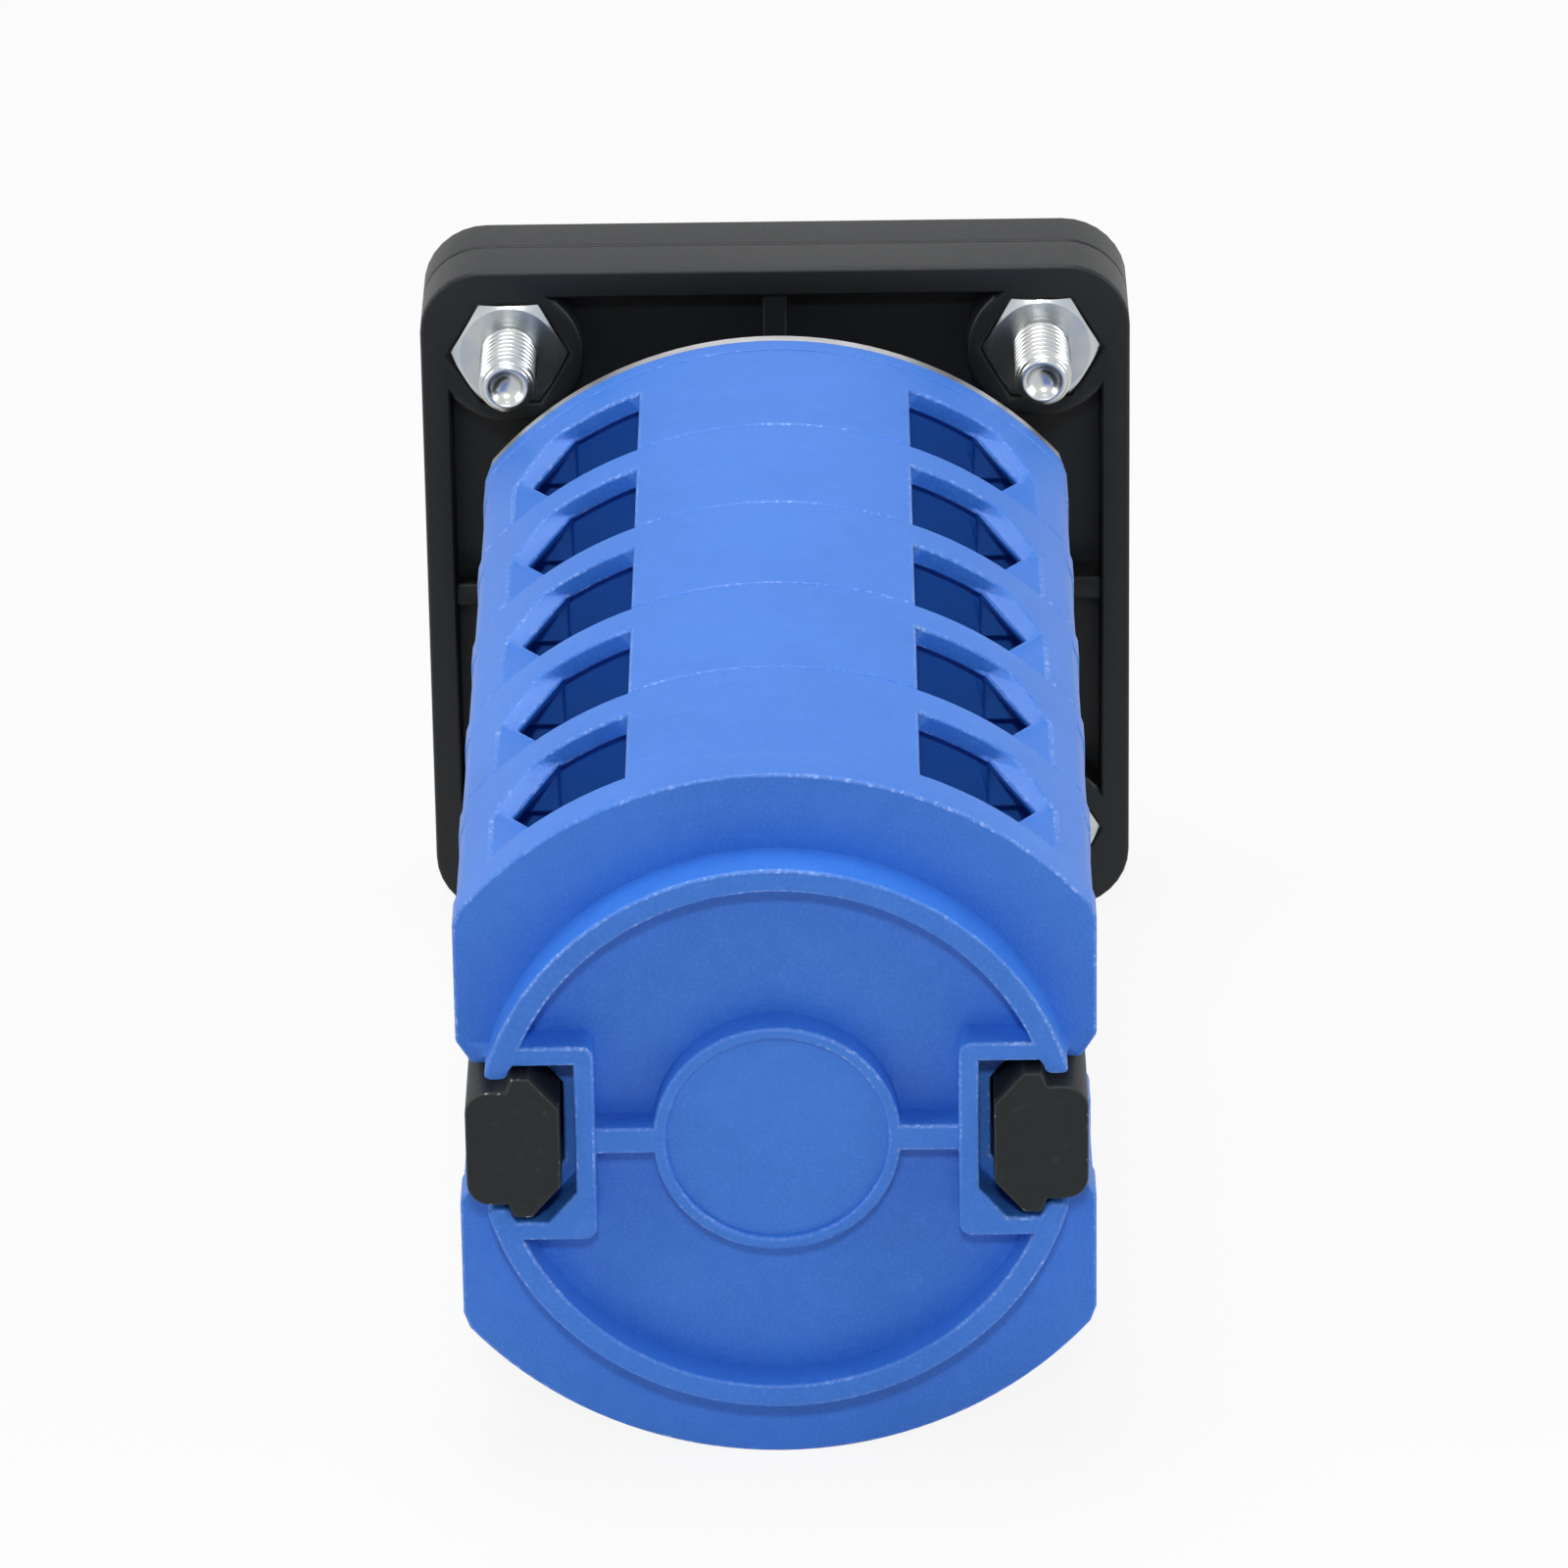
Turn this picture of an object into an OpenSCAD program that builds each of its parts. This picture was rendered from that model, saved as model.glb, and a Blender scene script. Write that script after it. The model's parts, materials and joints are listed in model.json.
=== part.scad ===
// Rotary cam switch with stacked contact decks, for mounting in a panel.
// The switch axis runs along Y: the knob faces -Y, the end cap faces +Y, and +Z is up.
// The origin is on the axis, in the panel plane between the front bezel and the rear flange.

/* [Panel frame] */
// Side of the square front frame
frame_side = 48; // [47:0.5:56]
// Corner radius of the front frame
frame_corner_r = 4.4; // [3:0.2:5]
// Depth of the bezel in front of the panel
bezel_depth = 4.9; // [3.8:0.1:6]
// Setback of the bezel's rounded front edge
bezel_edge = 0.7; // [0.4:0.1:1.6]
// Depth of the rear flange behind the panel
flange_depth = 4.7; // [4.5:0.1:7]
// Width of the rim around the rear flange
rim_w = 2; // [1.4:0.1:3]
// Width of the ribs in the rear flange
rib_w = 1.7; // [1:0.1:2.4]
// Thickness of the flange where the detent housing is seated
seat_t = 3; // [2.6:0.1:4]
// Radius of the nut bosses in the flange's corners
boss_r = 5; // [4.7:0.1:5.4]

/* [Panel screws] */
// Distance between panel screws, both ways
screw_pitch = 36; // [35:0.5:38]
// Radius of the screw thread at its crest
crest_r = 1.95; // [1.8:0.05:2]
// Radius of the screw thread at its root
root_r = 1.6; // [1.4:0.05:1.7]
// Radius of the screw head
screw_head_r = 3.5; // [3:0.1:3.8]
// Height of the screw head
screw_head_h = 2.4; // [1.8:0.1:2.6]
// Screw length standing out behind the nut
screw_end = 6; // [3:0.5:12]
// Width of the nut across its flats
nut_af = 7; // [6.6:0.1:7.4]
// Thickness of the nut
nut_t = 3.2; // [2.4:0.1:3.2]

/* [Switch body] */
// Width of the switch body across its side flats
body_w = 38.9; // [38.6:0.1:40]
// Height of the contact decks
body_h = 45.8; // [45.4:0.1:47]
// Radius of the curved top and bottom
body_arc_r = 25; // [24.6:0.1:25.6]
// Depth of the flats along the body's four corners, where the arcs meet the sides
body_flat = 0.2; // [0.1:0.05:0.3]
// How far the end cap stands over the decks, top and bottom
cap_over = 0.2; // [0:0.05:0.4]
// Number of contact decks
deck_count = 5; // [1:1:5]
// Depth of one deck along the axis
deck_pitch = 12.8; // [12.4:0.1:15]
// Thickness of a deck's base plate
deck_base = 3.3; // [3.1:0.1:3.6]
// Setback of a deck's side walls behind its base plate
wall_step = 0.15; // [0:0.05:0.3]
// Thickness of the front cover ahead of the decks
cover_t = 1.6; // [1.2:0.1:2.5]
// Thickness of the steel plate ahead of the cover
plate_t = 1.1; // [0.8:0.1:1.6]
// Radius of the pegs that line up the decks
peg_r = 0.8; // [0.6:0.1:0.9]

/* [Terminal windows] */
// Half width of the contact chambers
chamber_half = 7.7; // [7.6:0.1:7.9]
// Height of the chamber roof over the axis
roof_z = 19.8; // [19:0.1:20.4]
// Wall between a chamber and a terminal pocket
divider_t = 1.2; // [1:0.1:1.3]
// Outer side of a terminal pocket, from the axis
pocket_out_x = 16.6; // [16.2:0.1:17]
// Outer end of a window beside the base plate, from the axis
window_front_x = 13.1; // [12.6:0.1:13.6]
// Widest point of a window, from the axis
window_wide_x = 15.9; // [15.6:0.1:16.2]
// Outer side of a window at the next deck, from the axis
window_rear_x = 13.8; // [13.6:0.1:14.4]
// Distance from the base plate to a window's widest point
window_run = 3.4; // [3:0.1:4]
// Distance over which a window narrows again
window_return = 2.8; // [2:0.1:3]
// Height of the shelf beside the base plate, over the axis
shelf_front_z = 18; // [17.4:0.1:18.6]
// Height of the flat shelf, over the axis
shelf_z = 16; // [15.6:0.1:16.6]
// Thickness of the base plate's lip over a window
lip_t = 1.3; // [1:0.1:1.6]
// Thickness of the shelf round a window
shelf_t = 0.6; // [0.5:0.1:0.9]
// Depth of the undercut behind the base plate's lip
undercut = 1.3; // [0.8:0.1:1.6]

/* [Contacts and plungers] */
// Height of the terminal floor over the axis
floor_z = 9; // [8.8:0.1:9.3]
// Thickness of the fixed contact strips
strip_t = 1; // [0.8:0.1:1.2]
// Width of the fixed contact strips
strip_w = 6.4; // [5:0.1:6.6]
// Inner end of a fixed contact strip, from the axis
strip_in_x = 4.9; // [4.5:0.1:5]
// Outer end of a fixed contact strip, from the axis
strip_out_x = 15.8; // [15.6:0.1:16]
// Distance of the contact buttons from the axis
button_x = 6; // [5.8:0.1:6.1]
// Radius of the contact buttons
button_r = 1.3; // [1:0.1:1.4]
// Height of the contact buttons
button_h = 0.7; // [0.5:0.1:0.8]
// Thickness of the moving bridge
bridge_t = 0.8; // [0.6:0.1:1]
// Width of the moving bridge
bridge_w = 5; // [4:0.1:5.6]
// Width of a plunger
plunger_w = 6; // [5.4:0.1:6.2]
// Width of the plunger nose on the cam
nose_w = 3; // [2.4:0.1:3.4]
// Radius of the plunger's spigot inside the spring
spigot_r = 1.2; // [1:0.05:1.4]
// Mean radius of the contact springs
coil_r = 2.05; // [1.9:0.05:2.4]
// Radius of the spring wire
wire_r = 0.25; // [0.2:0.01:0.3]
// Number of turns in a contact spring
coil_turns = 5; // [4:1:6]

/* [Terminal screws] */
// Distance of the terminal screws from the axis, sideways
terminal_x = 12.3; // [12.2:0.1:12.4]
// Radius of a terminal screw's shank
terminal_shank_r = 1.65; // [1.4:0.05:1.75]
// Radius of a terminal screw's head
terminal_head_r = 2.9; // [2.4:0.1:3]
// Height of a terminal screw's head
terminal_head_h = 2.2; // [1.6:0.1:2.3]
// Length of a terminal screw below its head
terminal_len = 4.6; // [3.6:0.1:4.6]
// Side of the square clamp washers
washer_side = 6.4; // [6:0.1:6.6]
// Thickness of the clamp washers
washer_t = 0.9; // [0.7:0.1:1]

/* [Shaft and cams] */
// Side of the square shaft
shaft_side = 6; // [5.6:0.1:6.2]
// Radius of the shaft's round rear journal
journal_r = 2.8; // [2.4:0.1:2.8]
// Length of the shaft's rear journal
journal_len = 3; // [2:0.1:4]
// Radius of the cam hubs that turn in the decks
hub_r = 5; // [4.9:0.05:5.2]
// Mean radius of the cams under a plunger
cam_r = 6.5; // [6.4:0.05:6.6]
// Plunger travel each way from the middle position
cam_lift = 0.9; // [0.7:0.05:0.9]
// Turn of the knob each way from the middle position, in degrees
throw_deg = 60; // [45:5:60]
// Width of a cam's lobes along the axis
cam_w = 8; // [6:0.1:8.4]

/* [Tie bars] */
// Setback of the tie bars from the body's sides
bar_inset = 0.6; // [0.5:0.05:0.8]
// Thickness of the tie bars from their outer to their inner face
bar_w = 5.7; // [5.5:0.05:5.8]
// Width of the lower step along the tie bars' outer face
bar_step_w = 2.5; // [2.2:0.1:2.7]
// Half height of the tie bars
bar_half = 4.7; // [4.5:0.05:4.8]
// Half height of the tie bars at their outer step
bar_step_half = 3.8; // [3.5:0.05:4]
// Slant of the riser between the tie bars' step and their full height
bar_riser_w = 0.35; // [0:0.05:0.5]
// Rounding of the tie bars' outer edges
bar_round = 1.4; // [1:0.1:1.6]
// Width of the tie bars' inner chamfers
bar_chamfer_x = 1.8; // [1:0.1:2]
// Height of the tie bars' inner chamfers
bar_chamfer_z = 2.1; // [1:0.1:2.4]
// Rise of the slots' flared mouths, from the tie bars to the body's sides
mouth_rise = 1.5; // [1:0.05:1.6]
// Half height of the heads at the front of the tie bars
bar_head_half = 5.9; // [5.4:0.1:6]
// Length of the heads at the front of the tie bars
bar_head_len = 2.8; // [2:0.1:4]
// How far the tie bars stand out of the end cap's ring
bar_proud = 0.5; // [0:0.1:1]

/* [End cap] */
// Thickness of the end cap's plate
cap_t = 3.4; // [3:0.1:4]
// Height of the end cap's ring over its plate
ring_h = 3.2; // [2.6:0.1:4]
// Setback of the end cap's ring from the body's sides
ring_inset = 1.19; // [1.1:0.01:1.4]
// Wall of the end cap's ring
ring_t = 1.5; // [1.2:0.1:1.8]
// Depth of the end cap's recess inside its ring
recess_d = 2.5; // [2:0.1:2.6]
// Outer radius of the end cap's centre ring
eye_r = 7.54; // [6.5:0.02:8]
// Wall of the end cap's centre ring
eye_t = 0.8; // [0.6:0.1:1.2]
// Drop of the centre ring below the outer ring
eye_drop = 0.35; // [0.2:0.05:0.6]
// Drop of the disc inside the centre ring
eye_disc_drop = 0.4; // [0.2:0.05:0.8]
// Width of the ribs beside the centre ring
cap_rib_w = 1.74; // [1.2:0.02:2.2]
// Gap between a tie bar and the bracket around it
bracket_gap = 0.9; // [0.7:0.05:1.2]
// Wall of the brackets around the tie bars
bracket_t = 1.25; // [1:0.05:1.4]
// Half height of the space inside the brackets
bracket_half = 5.3; // [5.1:0.05:5.4]
// Rounding of the brackets' outer corners
bracket_round = 0.8; // [0.4:0.1:1.1]
// Width of the fillet in each bracket's lower corner
corner_fill_x = 1.7; // [1:0.1:1.9]
// Height of the fillet in each bracket's lower corner
corner_fill_z = 2; // [1:0.1:2.4]

/* [Detent] */
// Depth of the detent housing along the axis
housing_depth = 10.5; // [10:0.1:12]
// Outer radius of the detent housing
housing_r = 16.5; // [16.3:0.1:16.6]
// Wall of the detent housing
housing_wall = 1.6; // [1.4:0.1:1.7]
// Distance of the star wheel's rim inside the leaf springs
star_gap = 2.2; // [2.1:0.05:2.6]
// Radius of the notches in the star wheel
notch_r = 2; // [1.8:0.1:2.1]
// Number of notches in the star wheel
notch_count = 6; // [4:2:6]
// Thickness of the star wheel
star_t = 5.2; // [4.6:0.1:5.4]
// Gap between the stop lug and the housing's screw bosses
lug_gap = 0.4; // [0.3:0.05:1]
// Width of the stop lug, in degrees
lug_deg = 18; // [12:1:20]
// Thickness of the leaf springs
leaf_t = 0.5; // [0.3:0.05:0.6]
// Width of the leaf springs along the axis
leaf_w = 4; // [3:0.1:4.4]
// Gap between the leaf springs and the tie bars' sockets
leaf_gap = 1.3; // [1.2:0.05:1.5]
// Gap beyond the leaf springs' ends
leaf_end_gap = 0.1; // [0.05:0.05:0.4]
// Radius of the screws that hold the housing
housing_screw_r = 1.2; // [1:0.05:1.3]
// Radius of the housing screws' countersunk heads
housing_head_r = 2.75; // [2.5:0.05:2.9]
// Height of the housing screws' countersunk heads
housing_head_h = 1.2; // [1:0.05:1.3]
// Depth of the housing screws in the housing
housing_screw_in = 4.6; // [3.5:0.1:6]
// Radius of the screw bosses in the housing
housing_boss_r = 2.4; // [2:0.1:2.6]

/* [Knob and dial] */
// Radius of the dial plate
dial_r = 20.5; // [19:0.1:21]
// Thickness of the dial plate
dial_t = 0.8; // [0.5:0.1:1]
// Depth of the dial's recess in the bezel
dial_recess = 1; // [0.8:0.1:1.4]
// Radius of the knob's skirt
knob_r = 15.5; // [14:0.5:17]
// Height of the knob's skirt
skirt_h = 5; // [4:0.1:7]
// Overall height of the knob over the bezel
knob_h = 22; // [19:0.5:28]
// Width of the knob's grip at its foot
grip_w = 12; // [11.5:0.1:13]
// Inward slope of the grip's sides and ends
grip_taper = 0.6; // [0.2:0.1:0.8]
// Depth of the finger scoops in the grip's sides
grip_scoop = 0.9; // [0.4:0.1:1.1]
// Radius of the finger scoops
scoop_r = 12; // [9:0.5:16]
// Length of the slope at the grip's tail
tail_slope = 7; // [3:0.5:8]
// Radius of the knob's collar in the bezel
collar_r = 8; // [7.4:0.1:8.6]
// Radius of the knob screw's head
knob_screw_r = 3; // [2.6:0.1:3.1]
// Height of the knob screw's head
knob_screw_h = 2.2; // [1.8:0.1:2.6]
// Radius of the knob screw's shank
knob_shank_r = 1.4; // [1.2:0.05:1.5]
// Length of the knob screw below its head
knob_shank_len = 9; // [7:0.5:12]
// Thickness of the cap over the knob screw
knob_cap_t = 1.6; // [1:0.1:2]
// Width of the pointer on the grip
pointer_w = 2; // [1.2:0.1:3]

/* [Fits] */
// Radial clearance of parts that turn in a bore
run_fit = 0.08; // [0.05:0.01:0.1]
// Clearance of parts that slide or are pushed in
slide_fit = 0.15; // [0.1:0.01:0.2]
// Clearance of parts that are pushed on a square or a pin
push_fit = 0.05; // [0.03:0.01:0.08]
// Gap between a cam and its plunger's nose
nose_gap = 0.1; // [0.08:0.01:0.15]

/* [Hidden] */
$fn = 72;

// Colours
blue = [0.25, 0.45, 0.85];
black = [0.13, 0.13, 0.14];
zinc = [0.8, 0.82, 0.84];
steel = [0.62, 0.63, 0.65];
brass = [0.83, 0.68, 0.35];
nylon = [0.93, 0.92, 0.88];
silver = [0.78, 0.78, 0.8];

// Places along the axis, from the panel plane
plate_y = seat_t + housing_depth;
cover_y = plate_y + plate_t;
first_deck_y = cover_y + cover_t;
cap_y = first_deck_y + deck_count * deck_pitch;
cap_face_y = cap_y + cap_t;
ring_face_y = cap_face_y + ring_h;
eye_face_y = ring_face_y - eye_drop;
dial_y = dial_recess - bezel_depth;
skirt_y = -bezel_depth - 0.7;
knob_face_y = -bezel_depth - knob_h;
knob_screw_y = knob_face_y + knob_cap_t + knob_screw_h;
shaft_gap = 2;
shaft_front_y = knob_screw_y + shaft_gap;

// Inside one deck, along the axis from the deck's own front face
wall_depth = deck_pitch - deck_base;
contact_a = deck_base + wall_depth / 2;
plunger_len = wall_depth - 2 * slide_fit;

// Tie bars and the ring and brackets round their ends, from the axis
bar_out_x = body_w / 2 - bar_inset;
bar_in_x = bar_out_x - bar_w;
step_x = bar_out_x - bar_step_w;
bracket_x = bar_in_x - bracket_gap - bracket_t;
ring_r = body_w / 2 - ring_inset;

// Heights over the axis
arc_z = body_h / 2 - body_arc_r;
pocket_x = chamber_half + divider_t;
cavity_r = cam_r + cam_lift + 0.5;
bridge_z = floor_z + strip_t + 2 * button_h + cam_lift + 0.03;
nose_z = cam_r + nose_gap;
shoulder_z = nose_z + 1.5;
washer_z = floor_z + strip_t;
terminal_head_z = washer_z + washer_t;
coil_bottom_z = bridge_z + bridge_t + wire_r + push_fit;
coil_top_z = roof_z - wire_r - push_fit;

// Detent
housing_in_r = housing_r - housing_wall;
housing_floor_y = seat_t + housing_wall;
lug_y = housing_floor_y + 0.2;
lug_t = 1.4;
star_y = lug_y + lug_t;
socket_wall = 1;
lug_in_x = bar_in_x - socket_wall;
leaf_x = lug_in_x - leaf_gap - leaf_t / 2;
star_r = leaf_x - star_gap;
notch_centre_r = star_r + 0.8;
valley_r = notch_centre_r - notch_r;
leaf_y = star_y + (star_t - leaf_w) / 2;
boss_inset = 0.6;
boss_deg = 53.5;
boss_at_r = housing_in_r - boss_inset;
housing_boss = boss_at_r * [cos(boss_deg), sin(boss_deg)];
lug_r = min(boss_at_r - housing_boss_r, lug_in_x) - lug_gap;
leaf_room = sqrt(pow(housing_in_r, 2) - pow(leaf_x + leaf_t / 2, 2));
leaf_half = min(housing_boss.y - housing_boss_r, leaf_room) - leaf_end_gap;
stop_gap_deg = 1;
bore_r = shaft_side / 2 * sqrt(2) + 0.35;
lug_half = bar_head_half + 1.3;
screw_sink = 0.2;
head_gap = 0.1;
hub_room = 0.6;
peg_x = 5;
peg_z = (roof_z + body_h / 2) / 2 - 0.2;
peg_h = 1;
knob_room_r = knob_screw_r + 0.3;
eps = 0.01;

function deck_y(k) = first_deck_y + (k - 1) * deck_pitch;

// Odd decks close when the knob turns one way, even decks when it turns the other way
function deck_sense(k) = k % 2 == 1 ? 1 : -1;

// Points of an arc about c, from angle a0 to a1
function arc(c, r, a0, a1, n = 6) =
    [for (i = [0:n]) let (a = a0 + (a1 - a0) * i / n) c + r * [cos(a), sin(a)]];

// Radius of a cam at angle t from the point under its plunger at rest: a spiral that moves the
// plunger in step with the knob, and a smooth return between the two ends of the throw
function fold(t) = t - 180 * round(t / 180);
function past_throw(t) = (fold(t) < 0 ? fold(t) + 180 : fold(t)) - throw_deg;
function cam_radius(t, sense) =
    abs(fold(t)) <= throw_deg
        ? cam_r - sense * cam_lift * fold(t) / throw_deg
        : cam_r + sense * cam_lift * cos(180 * past_throw(t) / (180 - 2 * throw_deg) + 180);

// Extrudes a profile drawn in X and Z, from y over a depth t
module slab(y, t) {
    translate([0, y + t, 0]) rotate([90, 0, 0]) linear_extrude(t) children();
}

// Extrudes a profile drawn in Y and Z, from x over a width t
module across(x, t) {
    translate([x, 0, 0]) rotate([90, 0, 90]) linear_extrude(t) children();
}

// A cylinder along the switch axis, from y over a depth t
module rod(y, t, r, r_end = 0) {
    translate([0, y, 0]) rotate([-90, 0, 0]) cylinder(h = t, r1 = r, r2 = r_end > 0 ? r_end : r);
}

// A block from one corner to the opposite corner
module block(a, b) {
    translate(a) cube(b - a);
}

module both_sides() {
    for (i = [0, 1]) mirror([i, 0, 0]) children();
}

module top_and_bottom() {
    for (j = [0, 1]) mirror([0, 0, j]) children();
}

module four_corners() {
    both_sides() top_and_bottom() children();
}

module at_screws() {
    for (i = [-1, 1], j = [-1, 1]) translate([i * screw_pitch / 2, 0, j * screw_pitch / 2]) children();
}

module rounded_rect(w, h, r, n = 8) {
    c = [w / 2 - r, h / 2 - r];
    polygon([for (q = [0:3]) let (sign = [q == 0 || q == 3 ? 1 : -1, q < 2 ? 1 : -1])
        each arc([c.x * sign.x, c.y * sign.y], r, q * 90, q * 90 + 90, n)]);
}

module rounded_square(side, r) {
    rounded_rect(side, side, r);
}

// Outline of the switch body: two shallow arcs cut off by flat sides
module body_outline(w, extra = 0) {
    rise = sqrt(pow(body_arc_r, 2) - pow(w / 2, 2));
    difference() {
        intersection() {
            translate([0, arc_z + extra]) circle(body_arc_r, $fn = 180);
            translate([0, -arc_z - extra]) circle(body_arc_r, $fn = 180);
            square([w, 2 * body_h], center = true);
        }
        for (i = [0, 1], j = [0, 1]) mirror([i, 0]) mirror([0, j])
            translate([w / 2, arc_z + extra + rise]) rotate(atan2(rise, w / 2) / 2)
                translate([-body_flat, -2]) square(4);
    }
}

// Upper half of a tie bar's section, grown by c all round, as far as its outer step
function bar_points(c) = [
    [bar_in_x - c, 0], [bar_in_x - c, bar_half - bar_chamfer_z], [bar_in_x + bar_chamfer_x, bar_half + c],
    [step_x - bar_riser_w + c, bar_half + c], [step_x + c, bar_step_half + c]
];

module bar_section() {
    for (j = [0, 1]) mirror([0, j])
        polygon(concat(
            bar_points(0),
            arc([bar_out_x - bar_round, bar_step_half - bar_round], bar_round, 90, 0),
            [[bar_out_x, 0]]
        ));
}

// Slot for a tie bar, with a flared mouth in the body's side
module bar_slot() {
    mouth = [body_w / 2, bar_step_half + slide_fit + mouth_rise];
    for (j = [0, 1]) mirror([0, j])
        polygon(concat(
            bar_points(slide_fit),
            [[bar_out_x - bar_round / 4, bar_step_half + slide_fit]],
            [mouth, [mouth.x + 1, mouth.y + 1], [mouth.x + 1, 0]]
        ));
}

module bar_slots(y, t) {
    both_sides() slab(y, t) bar_slot();
}

module square_bore(y, t) {
    side = shaft_side + 2 * push_fit;
    slab(y, t) square(side, center = true);
}

module hex(af) {
    circle(af / sqrt(3), $fn = 6);
}

// Panel frame

module front_bezel() {
    counterbore_r = screw_head_r + 0.3;
    color(black) difference() {
        hull() {
            slab(bezel_edge - bezel_depth, bezel_depth - bezel_edge)
                rounded_square(frame_side, frame_corner_r);
            slab(-bezel_depth, eps)
                rounded_square(frame_side - 2 * bezel_edge, frame_corner_r - bezel_edge / 2);
        }
        rod(-bezel_depth - 1, bezel_depth + 2, collar_r + run_fit);
        rod(-bezel_depth - 1, 1 + dial_recess, dial_r + slide_fit);
        at_screws() rod(-bezel_depth - 1, bezel_depth + 2, crest_r + slide_fit);
        at_screws() rod(-bezel_depth - 1, 1 + screw_head_h + screw_sink, counterbore_r);
    }
}

module dial_plate() {
    color(silver) difference() {
        rod(dial_y - dial_t, dial_t, dial_r);
        rod(dial_y - dial_t - 1, dial_t + 2, collar_r + 0.5);
    }
}

module rear_flange() {
    floor_t = flange_depth - nut_t;
    rib_end = housing_r - 0.5;
    rib_drop = 0.6;
    clear_r = housing_screw_r + 0.45;
    color(black) difference() {
        union() {
            difference() {
                slab(0, flange_depth) rounded_square(frame_side, frame_corner_r);
                slab(floor_t, flange_depth) rounded_square(frame_side - 2 * rim_w, frame_corner_r - 1);
            }
            at_screws() rod(0, flange_depth, boss_r);
            rod(0, seat_t, housing_r);
            both_sides() block([0, 0, -lug_half], [bar_out_x, seat_t, lug_half]);
            for (q = [0:3]) rotate([0, 90 * q, 0])
                block([rib_end, 0, -rib_w / 2], [frame_side / 2 - 1, flange_depth - rib_drop, rib_w / 2]);
        }
        slab(seat_t, flange_depth) circle(housing_r + slide_fit);
        both_sides() block([0, seat_t, -lug_half - slide_fit],
            [bar_out_x + slide_fit, flange_depth + 1, lug_half + slide_fit]);
        rod(-1, seat_t + 2, bore_r);
        at_screws() rod(-1, flange_depth + 2, crest_r + slide_fit);
        at_screws() slab(floor_t, nut_t + 1) hex(nut_af + 2 * push_fit);
        four_corners() translate([housing_boss.x, 0, housing_boss.y]) {
            rod(-1, seat_t + 2, clear_r);
            rod(-eps, housing_head_h + 0.3, housing_head_r + 0.25, clear_r);
        }
    }
}

// Inside the bezel, the flange and the nut a screw is drawn at its thread root
module mounting_screws() {
    head_y = screw_head_h + screw_sink - bezel_depth;
    head_front_y = head_y - screw_head_h;
    head_round = 0.6;
    chamfer = 0.4;
    cross = [2, 1.2, 0.4];
    color(zinc) at_screws() difference() {
        union() {
            rod(head_front_y, head_round, screw_head_r - head_round, screw_head_r);
            rod(head_front_y + head_round, screw_head_h - head_round, screw_head_r);
            rod(head_y - 1, flange_depth - head_y + 1, root_r);
            rod(flange_depth, screw_end - chamfer, crest_r);
            rod(flange_depth + screw_end - chamfer, chamfer, crest_r, crest_r - chamfer);
        }
        for (q = [0, 1]) rotate([0, 45 + 90 * q, 0])
            block([-cross.x, head_front_y - 1, -cross.z], [cross.x, head_front_y + cross.y, cross.z]);
    }
}

module mounting_nuts() {
    corner_r = nut_af / sqrt(3);
    bevel = 0.35;
    color(zinc) at_screws() difference() {
        intersection() {
            slab(flange_depth - nut_t, nut_t) hex(nut_af);
            union() {
                rod(flange_depth - nut_t, nut_t - bevel, corner_r + eps);
                rod(flange_depth - bevel, bevel, corner_r + eps, corner_r - 2 * bevel);
            }
        }
        rod(flange_depth - nut_t - 1, nut_t + 2, root_r + push_fit);
    }
}

// Detent

module detent_housing() {
    head_end_y = seat_t + head_gap + bar_head_len;
    stop_mid = 90 - throw_deg - lug_deg / 2 - stop_gap_deg;
    stop_deg = 12;
    stop_in_r = star_r + 0.3;
    post_end_y = plate_y - 1.5;
    leaf_back_x = leaf_x + leaf_t / 2 + push_fit;
    leaf_front_x = leaf_x - leaf_t / 2 - push_fit;
    color(black) difference() {
        union() {
            difference() {
                rod(seat_t, housing_depth, housing_r);
                rod(housing_floor_y, housing_depth, housing_in_r);
            }
            both_sides() block([lug_in_x, seat_t, -lug_half], [bar_out_x, plate_y, lug_half]);
            intersection() {
                rod(seat_t, housing_depth, housing_r - eps);
                four_corners() union() {
                    translate([housing_boss.x, 0, housing_boss.y])
                        rod(seat_t, housing_depth - 2, housing_boss_r);
                    block([leaf_back_x, seat_t, leaf_half - 0.9],
                        [housing_r, post_end_y, leaf_half + 1.1]);
                    block([leaf_front_x - 0.9, seat_t, leaf_half - 0.7],
                        [leaf_front_x, post_end_y, leaf_half + 0.6]);
                }
            }
            both_sides() slab(seat_t, housing_floor_y - seat_t + 1.5)
                polygon(concat(
                    arc([0, 0], stop_in_r, stop_mid, stop_mid - stop_deg, 4),
                    arc([0, 0], housing_in_r + 0.5, stop_mid - stop_deg, stop_mid, 4)
                ));
        }
        rod(seat_t - 1, housing_depth, bore_r);
        bar_slots(seat_t - 1, housing_depth + 2);
        both_sides() block([bar_in_x - slide_fit, seat_t - 1, -bar_head_half - slide_fit],
            [bar_out_x + 1, head_end_y + slide_fit, bar_head_half + slide_fit]);
        four_corners() translate([housing_boss.x, 0, housing_boss.y])
            rod(seat_t - 1, housing_screw_in + 2.4, housing_screw_r + push_fit);
    }
}

module housing_screws() {
    head_y = 0.1;
    slot = [1.6, 0.6, 0.3];
    color(zinc) four_corners() translate([housing_boss.x, 0, housing_boss.y]) difference() {
        union() {
            rod(head_y, housing_head_h, housing_head_r, housing_screw_r + 0.35);
            rod(head_y + 0.9, seat_t + housing_screw_in - head_y - 0.9, housing_screw_r);
        }
        block([-slot.x, head_y - 1, -slot.z], [slot.x, head_y + slot.y, slot.z]);
    }
}

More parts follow.
